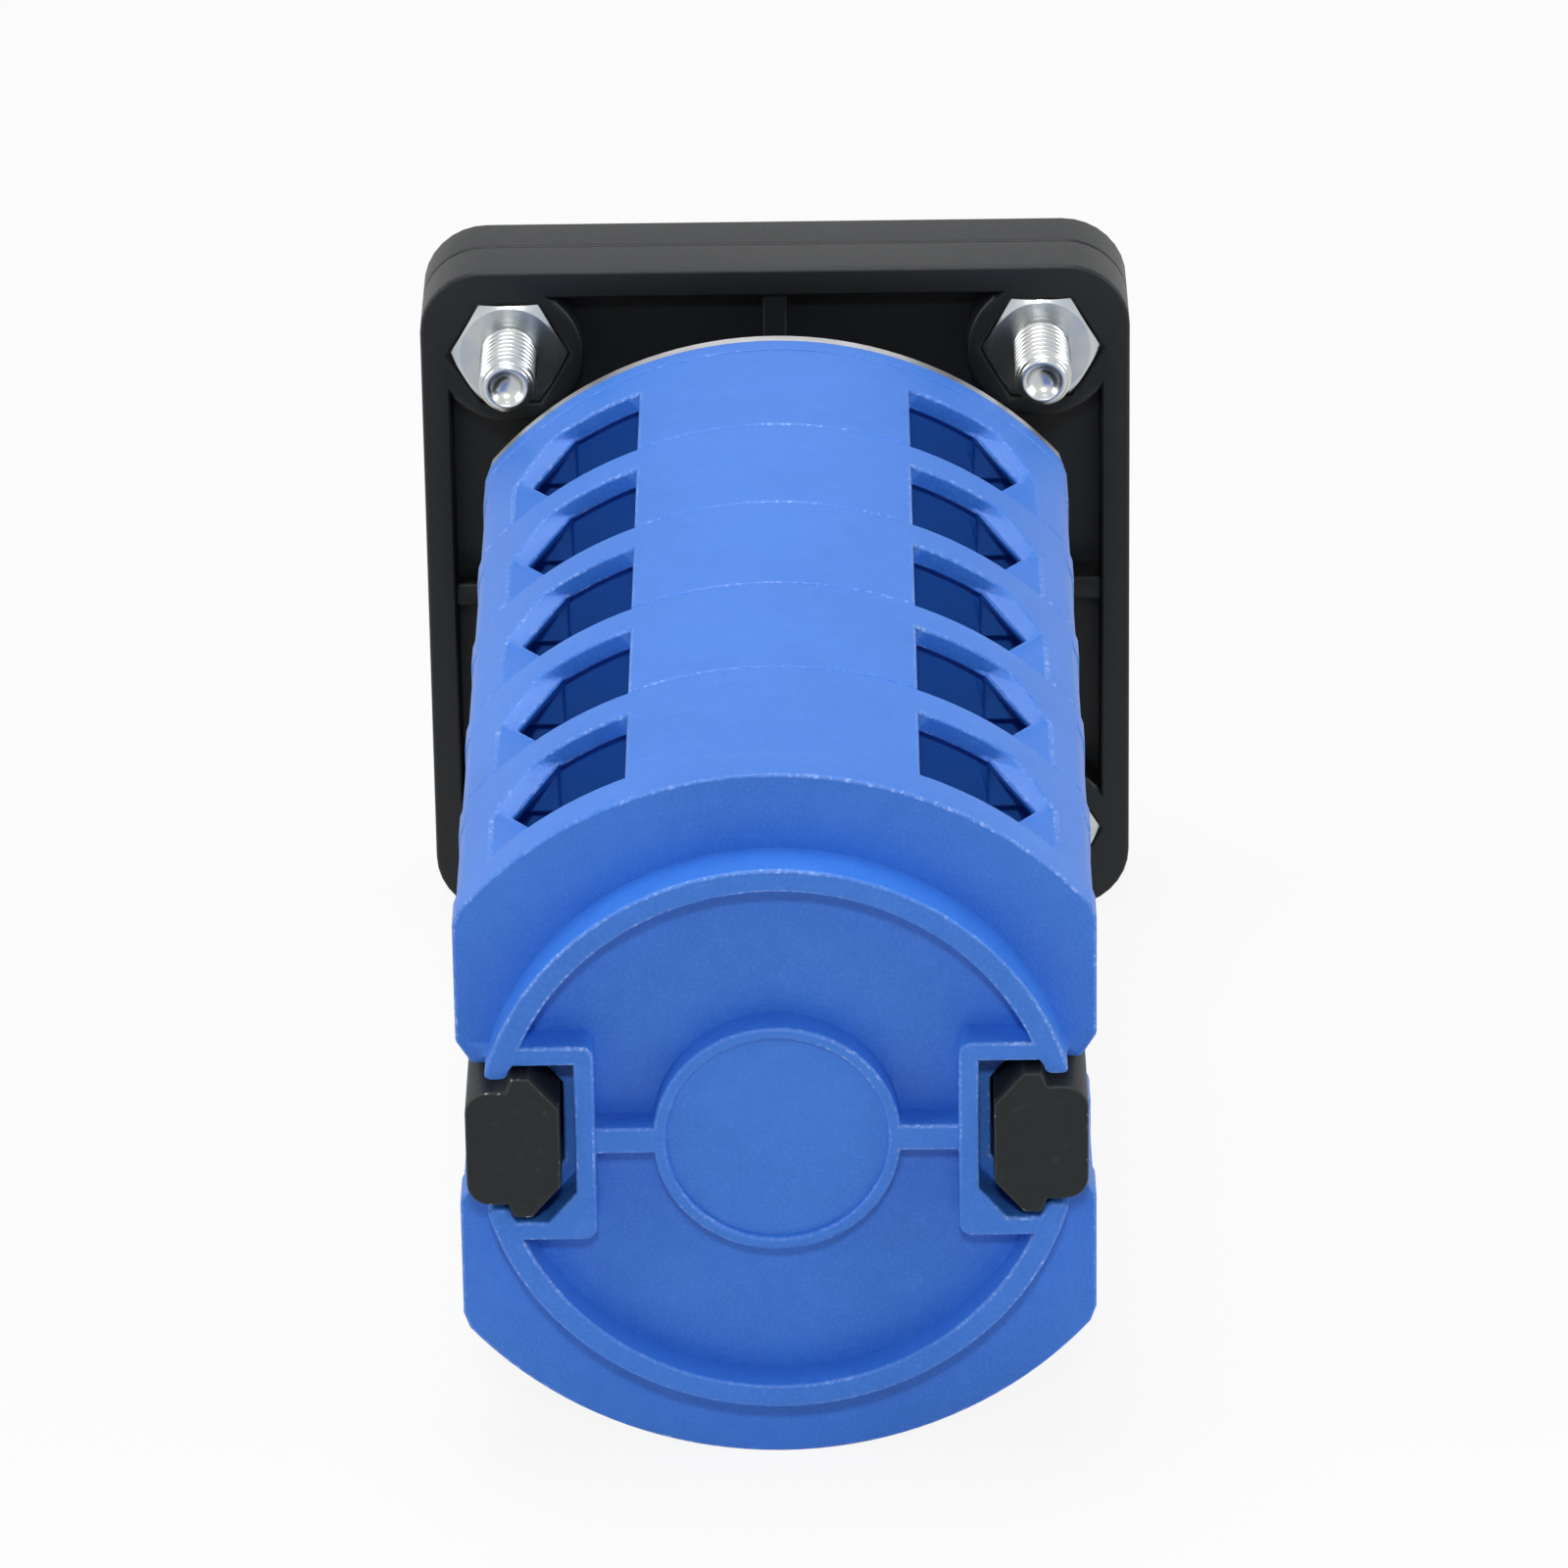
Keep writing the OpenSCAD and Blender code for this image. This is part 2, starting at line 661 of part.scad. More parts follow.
// A leaf spring is a strip with a bump in its middle that sits in a notch of the star wheel
module detent_springs() {
    bump_half = 3.2;
    bump_h = leaf_x - leaf_t / 2 - valley_r - 0.3;
    z_steps = [for (i = [-16:16]) bump_half * i / 16];
    inner = [for (z = z_steps) [leaf_x - leaf_t / 2 - bump_h * pow(cos(90 * z / bump_half), 2), z]];
    outer = [for (z = z_steps) [leaf_x + leaf_t / 2 - bump_h * pow(cos(90 * z / bump_half), 2), z]];
    color(steel) both_sides() slab(leaf_y, leaf_w)
        polygon(concat(
            [[leaf_x - leaf_t / 2, -leaf_half]], inner, [[leaf_x - leaf_t / 2, leaf_half]],
            [[leaf_x + leaf_t / 2, leaf_half]], [for (i = [len(outer) - 1:-1:0]) outer[i]],
            [[leaf_x + leaf_t / 2, -leaf_half]]
        ));
}

module star_wheel() {
    color(nylon) difference() {
        union() {
            slab(star_y, star_t) difference() {
                circle(star_r);
                for (i = [0:notch_count - 1]) rotate(360 * i / notch_count)
                    translate([notch_centre_r, 0]) circle(notch_r);
            }
            rod(lug_y, plate_y - lug_y - 0.2, shaft_side / 2 * sqrt(2) + 1);
            slab(lug_y, lug_t) union() {
                circle(valley_r);
                polygon(concat(arc([0, 0], lug_r, 90 - lug_deg / 2, 90 + lug_deg / 2), [[0, 0]]));
            }
        }
        square_bore(lug_y - 1, housing_depth + 2);
    }
}

// Switch body

module steel_plate() {
    color(steel) difference() {
        slab(plate_y, plate_t) body_outline(body_w - 0.3, -0.15);
        rod(plate_y - 1, plate_t + 2, hub_r + hub_room);
        bar_slots(plate_y - 1, plate_t + 2);
    }
}

module pegs(y) {
    four_corners() translate([peg_x, 0, peg_z]) rod(y - 1, 1 + peg_h, peg_r);
}

module peg_holes(y) {
    four_corners() translate([peg_x, 0, peg_z]) rod(y - 1, 1 + peg_h + 0.2, peg_r + slide_fit);
}

module front_cover() {
    color(blue) difference() {
        union() {
            slab(cover_y, cover_t) body_outline(body_w);
            pegs(first_deck_y);
        }
        rod(cover_y - 1, cover_t + 2, hub_r + hub_room);
        bar_slots(cover_y - 1, cover_t + 2);
    }
}

// One terminal corner of a deck, cut from the deck's rear edge: a sloped shelf, the window in it,
// the wider pocket below, which leaves a thin shelf round the window, the undercut behind the base
// plate's lip and the contact strip's seat
module terminal_corner() {
    rear = deck_pitch + 1;
    wide_y = deck_base + window_run;
    pocket_top_z = shelf_z - lip_t;
    across(pocket_x, body_w)
        polygon([
            [deck_base, shelf_front_z], [wide_y, shelf_z], [rear, shelf_z],
            [rear, body_h], [deck_base, body_h]
        ]);
    translate([0, 0, pocket_top_z - eps]) linear_extrude(body_h)
        polygon([
            [pocket_x, deck_base], [window_front_x, deck_base], [window_wide_x, wide_y],
            [window_rear_x, wide_y + window_return], [window_rear_x, rear], [pocket_x, rear]
        ]);
    block([pocket_x, deck_base - undercut, floor_z], [pocket_out_x, rear, pocket_top_z]);
    intersection() {
        across(pocket_x, pocket_out_x - pocket_x)
            polygon([
                [deck_base, shelf_front_z - shelf_t], [wide_y, shelf_z - shelf_t],
                [rear, shelf_z - shelf_t], [rear, pocket_top_z - eps], [deck_base, pocket_top_z - eps]
            ]);
        slab(0, rear) translate([0, arc_z]) circle(body_arc_r - lip_t, $fn = 180);
    }
    slab(deck_base - undercut, undercut + eps) intersection() {
        translate([pocket_x, floor_z]) square([window_front_x - pocket_x, body_h]);
        translate([0, arc_z]) circle(body_arc_r - lip_t, $fn = 180);
    }
    block([chamber_half - 1, contact_a - strip_w / 2 - push_fit, floor_z],
        [pocket_x + 1, rear, floor_z + strip_t + push_fit]);
    translate([terminal_x, contact_a, terminal_head_z - terminal_len - 0.3])
        cylinder(h = terminal_len, r = terminal_shank_r + 0.3);
}

module deck(k) {
    slot_half = plunger_w / 2 + push_fit;
    color(blue) translate([0, deck_y(k), 0]) difference() {
        union() {
            slab(0, deck_base) body_outline(body_w);
            slab(1, deck_pitch - 1) body_outline(body_w - 2 * wall_step);
            pegs(deck_pitch);
        }
        rod(-1, deck_base + 2, hub_r + run_fit);
        rod(deck_base, deck_pitch, cavity_r);
        top_and_bottom() {
            slab(deck_base, deck_pitch) translate([-slot_half, 0]) square([2 * slot_half, floor_z + 1]);
            slab(deck_base, deck_pitch) translate([-chamber_half, floor_z])
                square([2 * chamber_half, roof_z - floor_z]);
        }
        four_corners() terminal_corner();
        bar_slots(-1, deck_pitch + 2);
        peg_holes(0);
    }
}

// The brackets are open to the ring and have two rounded corners inside it
module bracket_outline() {
    corner = [bracket_x + bracket_round, bracket_half + bracket_t - bracket_round];
    polygon(concat(
        [[ring_r, -corner.y - bracket_round], [ring_r, corner.y + bracket_round]],
        arc(corner, bracket_round, 90, 180),
        arc([corner.x, -corner.y], bracket_round, 180, 270)
    ));
}

module end_cap() {
    ring_end_r = 0.5;
    end_z = bar_step_half + 0.6;
    inner_r = ring_r - ring_t;
    end_x = [for (r = [inner_r, ring_r]) sqrt(r * r - end_z * end_z)];
    fill_x = bracket_x + bracket_t;
    color(blue) difference() {
        union() {
            slab(cap_y, cap_t) body_outline(body_w, cap_over);
            rod(cap_y + 1, ring_face_y - recess_d - cap_y - 1, inner_r + eps);
            difference() {
                rod(cap_face_y - eps, ring_h + eps, ring_r);
                rod(cap_face_y - 1, ring_h + 2, inner_r);
            }
            rod(cap_y + 1, eye_face_y - eye_disc_drop - cap_y - 1, eye_r - eye_t / 2);
            difference() {
                rod(cap_y + 1, eye_face_y - cap_y - 1, eye_r);
                rod(cap_y + 2, ring_h + cap_t, eye_r - eye_t);
            }
            intersection() {
                rod(cap_y, ring_face_y - cap_y, ring_r - eps);
                both_sides() union() {
                    block([eye_r - eye_t / 2, cap_y + 1, -cap_rib_w / 2],
                        [bracket_x + eps, eye_face_y, cap_rib_w / 2]);
                    slab(cap_y + 1, ring_face_y - cap_y - 1) bracket_outline();
                }
            }
        }
        both_sides() difference() {
            block([fill_x, cap_face_y, -bracket_half], [bar_out_x + 1, ring_face_y + 1, bracket_half]);
            slab(cap_face_y - 1, ring_h + 2)
                polygon([[fill_x - 1, -bracket_half - 1], [fill_x + corner_fill_x + 1, -bracket_half - 1],
                    [fill_x + corner_fill_x, -bracket_half], [fill_x, corner_fill_z - bracket_half],
                    [fill_x - 1, corner_fill_z - bracket_half]]);
            top_and_bottom() slab(cap_face_y - 1, ring_h + 2) intersection() {
                difference() {
                    circle(ring_r);
                    circle(inner_r);
                }
                polygon(concat(
                    arc([end_x[0] + ring_end_r, end_z + ring_end_r], ring_end_r, 180, 270),
                    arc([end_x[1] - ring_end_r, end_z + ring_end_r], ring_end_r, 270, 360),
                    [[end_x[1] + 1, bracket_half + 1], [end_x[0] - 1, bracket_half + 1]]
                ));
            }
        }
        bar_slots(cap_y - 1, cap_t + ring_h + 2);
        rod(cap_y - 1, journal_len + 1.3, journal_r + run_fit);
        peg_holes(cap_y);
    }
}

module tie_bar() {
    head_y = seat_t + head_gap;
    color(black) {
        slab(head_y, ring_face_y + bar_proud - head_y) bar_section();
        block([bar_in_x, head_y, -bar_head_half], [bar_out_x, head_y + bar_head_len, bar_head_half]);
    }
}

module tie_bar_left() {
    mirror([1, 0, 0]) tie_bar();
}

module tie_bar_right() {
    tie_bar();
}

// Contacts

module at_terminals() {
    for (k = [1:deck_count]) translate([0, deck_y(k) + contact_a, 0])
        four_corners() translate([terminal_x, 0, 0]) children();
}

module terminal_screws() {
    head_top_z = terminal_head_z + terminal_head_h;
    cross = [1.7, 0.35, 1.1];
    color(zinc) at_terminals() difference() {
        union() {
            translate([0, 0, terminal_head_z]) cylinder(h = terminal_head_h, r = terminal_head_r);
            translate([0, 0, terminal_head_z - terminal_len])
                cylinder(h = terminal_len + 1, r = terminal_shank_r);
        }
        for (q = [0, 1]) rotate([0, 0, 45 + 90 * q])
            block([-cross.x, -cross.y, head_top_z - cross.z], [cross.x, cross.y, head_top_z + 1]);
    }
}

module clamp_washers() {
    color(zinc) at_terminals() difference() {
        block([-washer_side / 2, -washer_side / 2, washer_z],
            [washer_side / 2, washer_side / 2, terminal_head_z]);
        translate([0, 0, washer_z - 1]) cylinder(h = washer_t + 2, r = terminal_shank_r + push_fit);
    }
}

module fixed_contacts(k) {
    color(brass) translate([0, deck_y(k) + contact_a, 0]) four_corners() difference() {
        union() {
            block([strip_in_x, -bridge_w / 2, floor_z], [chamber_half, bridge_w / 2, floor_z + strip_t]);
            block([chamber_half - 1, -strip_w / 2, floor_z],
                [strip_out_x, strip_w / 2, floor_z + strip_t]);
            translate([button_x, 0, floor_z + strip_t / 2])
                cylinder(h = strip_t / 2 + button_h, r = button_r);
        }
        translate([terminal_x, 0, floor_z - 1]) cylinder(h = strip_t + 2, r = terminal_shank_r + push_fit);
    }
}

module plunger(k, up) {
    half = plunger_w / 2;
    nose = nose_w / 2;
    shoulder_end_z = shoulder_z + 0.6;
    color(nylon) translate([0, deck_y(k) + contact_a, 0]) mirror([0, 0, up ? 0 : 1]) {
        slab(-plunger_len / 2, plunger_len) union() {
            polygon([
                [-nose, nose_z + nose], [nose, nose_z + nose],
                [nose, shoulder_z], [half, shoulder_end_z], [half, bridge_z],
                [-half, bridge_z], [-half, shoulder_end_z], [-nose, shoulder_z]
            ]);
            translate([0, nose_z + nose]) circle(nose);
        }
        translate([0, 0, bridge_z - 1]) cylinder(h = bridge_t + 3, r = spigot_r);
    }
}

module bridge(k, up) {
    half = chamber_half - 2 * slide_fit;
    color(brass) translate([0, deck_y(k) + contact_a, 0]) mirror([0, 0, up ? 0 : 1]) difference() {
        union() {
            block([-half, -bridge_w / 2, bridge_z], [half, bridge_w / 2, bridge_z + bridge_t]);
            both_sides() translate([button_x, 0, bridge_z - button_h])
                cylinder(h = button_h + bridge_t / 2, r = button_r);
        }
        translate([0, 0, bridge_z - 1]) cylinder(h = bridge_t + 2, r = spigot_r + push_fit);
    }
}

// A coil spring along Z, its wire a ring of points moved along a helix
module coil() {
    sides = 6;
    rings = 9 * coil_turns;
    pts = [for (i = [0:rings], s = [0:sides - 1])
        let (turn = 360 * coil_turns * i / rings, r = coil_r + wire_r * cos(360 * s / sides))
        [r * cos(turn), r * sin(turn),
            coil_bottom_z + (coil_top_z - coil_bottom_z) * i / rings + wire_r * sin(360 * s / sides)]];
    walls = [for (i = [0:rings - 1], s = [0:sides - 1])
        let (a = i * sides + s, b = i * sides + (s + 1) % sides) [a, a + sides, b + sides, b]];
    polyhedron(pts, concat(
        walls, [[for (s = [0:sides - 1]) s]],
        [[for (s = [sides - 1:-1:0]) rings * sides + s]]
    ));
}

module contact_springs(k) {
    color(steel) translate([0, deck_y(k) + contact_a, 0]) top_and_bottom() coil();
}

// Rotor

module square_shaft() {
    shaft_end_y = cap_y - 0.2;
    color(zinc) difference() {
        union() {
            slab(shaft_front_y, shaft_end_y - shaft_front_y) square(shaft_side, center = true);
            rod(shaft_end_y - 1, journal_len + 1, journal_r);
        }
        rod(shaft_front_y - 1, knob_shank_len - shaft_gap + 3, knob_shank_r + push_fit);
    }
}

module cam(k) {
    sense = deck_sense(k);
    hub_front_a = 0.1;
    color(nylon) translate([0, deck_y(k), 0]) difference() {
        union() {
            rod(hub_front_a, deck_pitch - 2 * hub_front_a, hub_r);
            slab(contact_a - cam_w / 2, cam_w)
                polygon([for (t = [0:5:355]) cam_radius(t, sense) * [cos(90 + t), sin(90 + t)]]);
        }
        square_bore(-1, deck_pitch + 2);
    }
}

module knob() {
    collar_end_y = -0.4;
    scoop_y = (skirt_y - skirt_h + knob_face_y) / 2 - 0.6;
    color(black) difference() {
        union() {
            rod(skirt_y - skirt_h + 1, skirt_h - 1, knob_r);
            rod(skirt_y - skirt_h, 1 + eps, knob_r - 1, knob_r);
            rod(skirt_y - eps, collar_end_y - skirt_y, collar_r);
            difference() {
                knob_grip();
                both_sides() translate([grip_w / 2 + scoop_r - grip_scoop, scoop_y, -knob_r])
                    cylinder(h = 2 * knob_r, r = scoop_r);
            }
        }
        difference() {
            rod(skirt_y - skirt_h + 2, skirt_h, knob_r - 1.8);
            rod(skirt_y - skirt_h, skirt_h + 2, collar_r);
        }
        square_bore(knob_screw_y + 1.5, -knob_screw_y);
        rod(knob_face_y - 1, knob_h, knob_shank_r + 0.5);
        rod(knob_face_y - 1, knob_screw_y - knob_face_y + 1, knob_room_r);
        block([-pointer_w / 2, knob_face_y - 1, knob_room_r + 1],
            [pointer_w / 2, knob_face_y + 0.5, knob_r + 1]);
    }
}

// The grip seen from the side has an upright tip and a sloped tail
module knob_grip() {
    grip_len = 2 * knob_r - 1;
    foot_y = skirt_y - skirt_h;
    tip = grip_len / 2;
    intersection() {
        hull() {
            slab(foot_y, 1) grip_outline(grip_w, grip_len);
            slab(knob_face_y, eps) grip_outline(grip_w - 2 * grip_taper, grip_len - 4 * grip_taper);
        }
        across(-grip_w, 2 * grip_w) polygon([
            [foot_y + 2, -tip - 1], [foot_y + 2, tip + 1], [knob_face_y + 2, tip + 1],
            [knob_face_y - eps, tip - 2.6], [knob_face_y - eps, tail_slope - tip],
            [foot_y - 3, -tip - 0.5]
        ]);
    }
}

module grip_outline(w, len) {
    rounded_rect(w, len, w / 2.6, 7);
}

module knob_screw() {
    head_front_y = knob_screw_y - knob_screw_h;
    slot = [2, 0.9, 0.4];
    color(zinc) difference() {
        union() {
            rod(head_front_y, knob_screw_h, knob_screw_r);
            rod(knob_screw_y - 1, knob_shank_len + 1, knob_shank_r);
        }
        block([-slot.x, head_front_y - 1, -slot.z], [slot.x, head_front_y + slot.y, slot.z]);
    }
}

module knob_cap() {
    color(black) rod(knob_face_y, knob_cap_t - head_gap, knob_room_r - push_fit);
}

front_bezel();
dial_plate();
rear_flange();
mounting_screws();
mounting_nuts();
detent_housing();
housing_screws();
detent_springs();
steel_plate();
front_cover();
end_cap();
tie_bar_left();
tie_bar_right();
terminal_screws();
clamp_washers();
square_shaft();
star_wheel();
knob();
knob_screw();
knob_cap();
for (k = [1:deck_count]) {
    deck(k);
    fixed_contacts(k);
    contact_springs(k);
    cam(k);
    plunger(k, true);
    plunger(k, false);
    bridge(k, true);
    bridge(k, false);
}
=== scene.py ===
# %% [markdown]
# A rotary cam switch is a stack of blue moulded decks on a black frame, held together by two
# black bars and clamped into a panel with four zinc-plated screws. The solids come from the CAD
# model. This lesson gives them their edges, their finishes and the small things that CAD leaves
# out: screw threads, the printed dial and the pointer. The file is read from top to bottom, one
# cell after another, and each cell prints what it made.

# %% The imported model
import json
import math

import bmesh
import bpy
import numpy as np
from mathutils import Matrix, Vector

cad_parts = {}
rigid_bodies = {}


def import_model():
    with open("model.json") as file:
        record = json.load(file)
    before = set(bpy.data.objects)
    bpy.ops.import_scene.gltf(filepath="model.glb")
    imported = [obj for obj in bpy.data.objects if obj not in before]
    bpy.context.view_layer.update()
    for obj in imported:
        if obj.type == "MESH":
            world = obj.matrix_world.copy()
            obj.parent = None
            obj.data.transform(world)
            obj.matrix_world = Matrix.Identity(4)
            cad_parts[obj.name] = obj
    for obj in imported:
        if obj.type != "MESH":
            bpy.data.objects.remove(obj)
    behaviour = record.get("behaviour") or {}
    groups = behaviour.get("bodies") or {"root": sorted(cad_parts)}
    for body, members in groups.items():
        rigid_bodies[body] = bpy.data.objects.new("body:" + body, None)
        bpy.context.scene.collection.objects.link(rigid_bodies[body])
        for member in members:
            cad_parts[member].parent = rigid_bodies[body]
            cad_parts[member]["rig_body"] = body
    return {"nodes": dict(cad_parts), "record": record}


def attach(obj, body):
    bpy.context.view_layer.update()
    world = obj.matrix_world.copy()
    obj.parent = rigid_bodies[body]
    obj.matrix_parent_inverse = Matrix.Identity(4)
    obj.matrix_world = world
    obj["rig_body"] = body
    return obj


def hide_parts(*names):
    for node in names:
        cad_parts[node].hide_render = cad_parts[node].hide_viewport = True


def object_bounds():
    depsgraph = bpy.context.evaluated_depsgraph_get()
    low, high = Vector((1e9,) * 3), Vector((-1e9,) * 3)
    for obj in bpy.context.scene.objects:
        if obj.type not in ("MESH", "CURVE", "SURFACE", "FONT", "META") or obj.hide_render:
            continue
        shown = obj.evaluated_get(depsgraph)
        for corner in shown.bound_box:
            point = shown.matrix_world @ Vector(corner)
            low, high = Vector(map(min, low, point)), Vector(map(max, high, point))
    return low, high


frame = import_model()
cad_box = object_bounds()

mm = 0.001
nodes = frame["nodes"]
print("nodes", len(nodes), "box in mm", [[round(v / mm, 2) for v in c] for c in cad_box])

# %% [markdown]
# The picture was taken with a long lens from behind the end cap, about 25 degrees above it. A
# camera is a point, three angles and a focal length. We write the three directions of the camera
# (right, up and ahead) as the rows of one matrix, because each angle is then one plain product,
# and hand them to Blender as columns. A camera in Blender looks along its own -Z, so ahead
# changes its sign.

# %% Camera
camera_at = Vector((-4.294, 594.488, 260.167)) * mm
camera_turn, camera_tilt, camera_roll = -0.0070, 0.4355, 0.0148
photo_side_px, focal_px, sensor_mm = 1600, 9607.0, 36.0


def camera_directions(turn, tilt, roll):
    """Rows right, up and ahead: facing -Y with +Z up, then turned about up, tilted, and rolled."""
    facing = Matrix(((-1, 0, 0), (0, 0, 1), (0, -1, 0)))
    turned = Matrix(((math.cos(turn), 0, -math.sin(turn)), (0, 1, 0),
                     (math.sin(turn), 0, math.cos(turn))))
    tilted = Matrix(((1, 0, 0), (0, math.cos(tilt), math.sin(tilt)),
                     (0, -math.sin(tilt), math.cos(tilt))))
    rolled = Matrix(((math.cos(roll), -math.sin(roll), 0),
                     (math.sin(roll), math.cos(roll), 0), (0, 0, 1)))
    return rolled @ tilted @ turned @ facing


def linked(name, data):
    """A new object in the scene that shows data."""
    made = bpy.data.objects.new(name, data)
    bpy.context.scene.collection.objects.link(made)
    return made


right, up, ahead = camera_directions(camera_turn, camera_tilt, camera_roll)
camera = linked("camera", bpy.data.cameras.new("camera"))
camera.data.sensor_width = sensor_mm
camera.data.lens = focal_px / photo_side_px * sensor_mm
camera_axes = Matrix((right, up, -ahead)).transposed().to_4x4()
camera.matrix_world = Matrix.Translation(camera_at) @ camera_axes
bpy.context.scene.camera = camera
bpy.context.scene.view_settings.view_transform = "Standard"
print("lens in mm", round(camera.data.lens, 1))
print("tilt in degrees", round(math.degrees(camera_tilt), 1))

# %% [markdown]
# A finish is a small network of nodes. Written by hand that is long, so we wrap one output socket
# in a class that knows plus, minus and times: an expression such as 0.4 + 0.1 * grain then builds
# its own Math nodes. Everything else comes from one method, node, which sets the node's options
# first and links or fills its inputs afterwards. Fixed numbers go straight onto the shader. Noise
# keeps close to one half, so rise is what turns it into clear patches: rise(0.4, 0.75) leaves the
# lower half plain.

# %% Shader expressions
class Value:
    """One output socket. Arithmetic on it adds Math nodes to the finish that it belongs to."""

    def __init__(self, finish, socket):
        self.finish = finish
        self.socket = socket

    def math(self, operation, first, second):
        return self.finish.node("ShaderNodeMath", {"operation": operation}, {0: first, 1: second})

    def __add__(self, other):
        return self.math("ADD", self, other)

    def __sub__(self, other):
        return self.math("SUBTRACT", self, other)

    def __rsub__(self, other):
        return self.math("SUBTRACT", other, self)

    def __mul__(self, other):
        return self.math("MULTIPLY", self, other)

    __radd__ = __add__
    __rmul__ = __mul__

    def __abs__(self):
        return self.math("ABSOLUTE", self, 0)

    def root(self):
        return self.math("SQRT", self, 0)

    def rise(self, low, high):
        """0 below low, 1 above high, and a smooth step between them."""
        return self.finish.node("ShaderNodeMapRange", {"interpolation_type": "SMOOTHSTEP"},
                                {0: self, 1: low, 2: high})


print("operators ready")

# %% Finishes
class Finish:
    """A material with one Principled shader. Constants are set on its sockets by name."""

    def __init__(self, name, **constants):
        self.material = bpy.data.materials.new(name)
        self.material.use_nodes = True
        self.tree = self.material.node_tree
        self.shader = self.tree.nodes["Principled BSDF"]
        for socket, value in constants.items():
            self.shader.inputs[socket.replace("_", " ")].default_value = value
        self.place = self.node("ShaderNodeTexCoord", output="Object")

    def node(self, kind, settings={}, inputs={}, output=0):
        """Any node, as the value of one of its outputs. Sockets go by name or by number."""
        made = self.tree.nodes.new(kind)
        for name, value in settings.items():
            setattr(made, name, value)
        for name, value in inputs.items():
            self.feed(made.inputs[name], value)
        return Value(self, made.outputs[output])

    def feed(self, socket, value):
        if isinstance(value, Value):
            self.tree.links.new(value.socket, socket)
        else:
            socket.default_value = value

    def noise(self, size, detail=2.0, stretch=(1, 1, 1)):
        """Noise with features of about size metres, longer along an axis with stretch above 1."""
        scaled = self.node("ShaderNodeMapping", {}, {
            "Vector": self.place, "Scale": [1 / (size * s) for s in stretch]})
        return self.node("ShaderNodeTexNoise", {}, {
            "Vector": scaled, "Scale": 1.0, "Detail": detail})

    def mix(self, share, low, high):
        """Colour low where share is 0 and high where it is 1. The Mix node keeps its two colours
        in sockets 6 and 7, and the mixed colour is its output 2."""
        low, high = ([*c, 1.0] if isinstance(c, tuple) else c for c in (low, high))
        return self.node("ShaderNodeMix", {"data_type": "RGBA"}, {0: share, 6: low, 7: high}, 2)

    def axes(self):
        """The place on the piece as three values, in metres."""
        split = self.node("ShaderNodeSeparateXYZ", {}, {0: self.place})
        outputs = split.socket.node.outputs
        return [Value(self, outputs[i]) for i in range(3)]

    def colour(self, value):
        self.feed(self.shader.inputs["Base Color"], value)

    def roughness(self, value):
        self.feed(self.shader.inputs["Roughness"], value)

    def bump(self, height, depth):
        """A relief of depth metres from a height of 0 to 1."""
        relief = self.node("ShaderNodeBump", {}, {"Distance": depth, "Height": height})
        self.feed(self.shader.inputs["Normal"], relief)


print("finish helper ready")

# %% [markdown]
# The decks and the cap are moulded in a blue, slightly satin nylon. Up close the real surface has
# a fine spark-eroded grain and a faint cloudiness from the flow of the plastic: two noises of very
# different size. Its edges are bruised where mouldings touch and rub, in pale specks shorter than
# half a millimetre. The same function makes both finishes, the faces with no wear and the edges
# with a lot of it. The colours are linear red, green and blue.
#
# The wire chambers behind the windows are deeper than the lamps can show, so a darker navy is
# painted into them as shade. Where they are follows from the plan of a deck: below the shelf
# round the window, and below the lip of the base plate, which follows the deck's curved top.

# %% Blue plastic
# along the axis: one deck, where the first begins and the last ends, and a base plate
deck_pitch, first_deck, last_deck_end, base_plate = 12.8 * mm, 16.2 * mm, 80.2 * mm, 3.3 * mm
# the shelf round a window: its height at both ends, and its length between them
shelf_foot, shelf_top, shelf_run = 16.0 * mm, 18.0 * mm, 3.4 * mm
shelf_slope = (shelf_top - shelf_foot) / shelf_run
# the arcs of the lip and of the skin, and the height of the middle that they share
lip_r, skin_r, arc_middle = 23.64 * mm, 24.6 * mm, -2.1 * mm
chamber_out, chamber_floor = 16.9 * mm, 8.85 * mm
# the width over which one finish turns into another
hair = 0.04 * mm
blue_deep, blue_bright = (0.031, 0.168, 0.630), (0.038, 0.190, 0.690)
blue_grain, blue_rubbed = (0.085, 0.27, 0.82), (0.40, 0.56, 0.95)
# painted shade: the darker navy inside the wire chambers behind the windows
blue_chamber_shade = (0.018, 0.128, 0.500)
# how much the grain, the mottle and the wear of an edge show at most
grain_share, mottle_share, edge_wear = 0.27, 0.12, 0.70


def chamber_shade_mask(finish):
    """1 inside the wire chambers of the decks, which take the painted shade, and 0 on every outer
    face. One deck is repeated by the remainder of the place along the axis, one quarter by the
    absolute values across it."""
    x, y, z = finish.axes()
    x, z = abs(x), abs(z)
    along = y.math("FLOORED_MODULO", y - first_deck, deck_pitch)
    height = z - arc_middle
    reach = (x * x + height * height).root()
    shelf = x.math("MAXIMUM", shelf_top - (along - base_plate) * shelf_slope, shelf_foot)
    under_lip = 1 - reach.rise(lip_r - hair, lip_r + hair)
    under_skin = 1 - reach.rise(skin_r, skin_r + hair)
    under_shelf = (1 - (z - shelf).rise(-4 * hair, -2 * hair)) * under_skin
    behind = along.rise(base_plate - 2 * hair, base_plate - hair)
    inside = under_lip + behind * (under_shelf - under_lip)
    between_sides = 1 - x.rise(chamber_out, chamber_out + hair)
    over_floor = z.rise(chamber_floor, chamber_floor + hair)
    before_cap = 1 - y.rise(last_deck_end - 2 * hair, last_deck_end - hair)
    return inside * (between_sides * over_floor) * before_cap


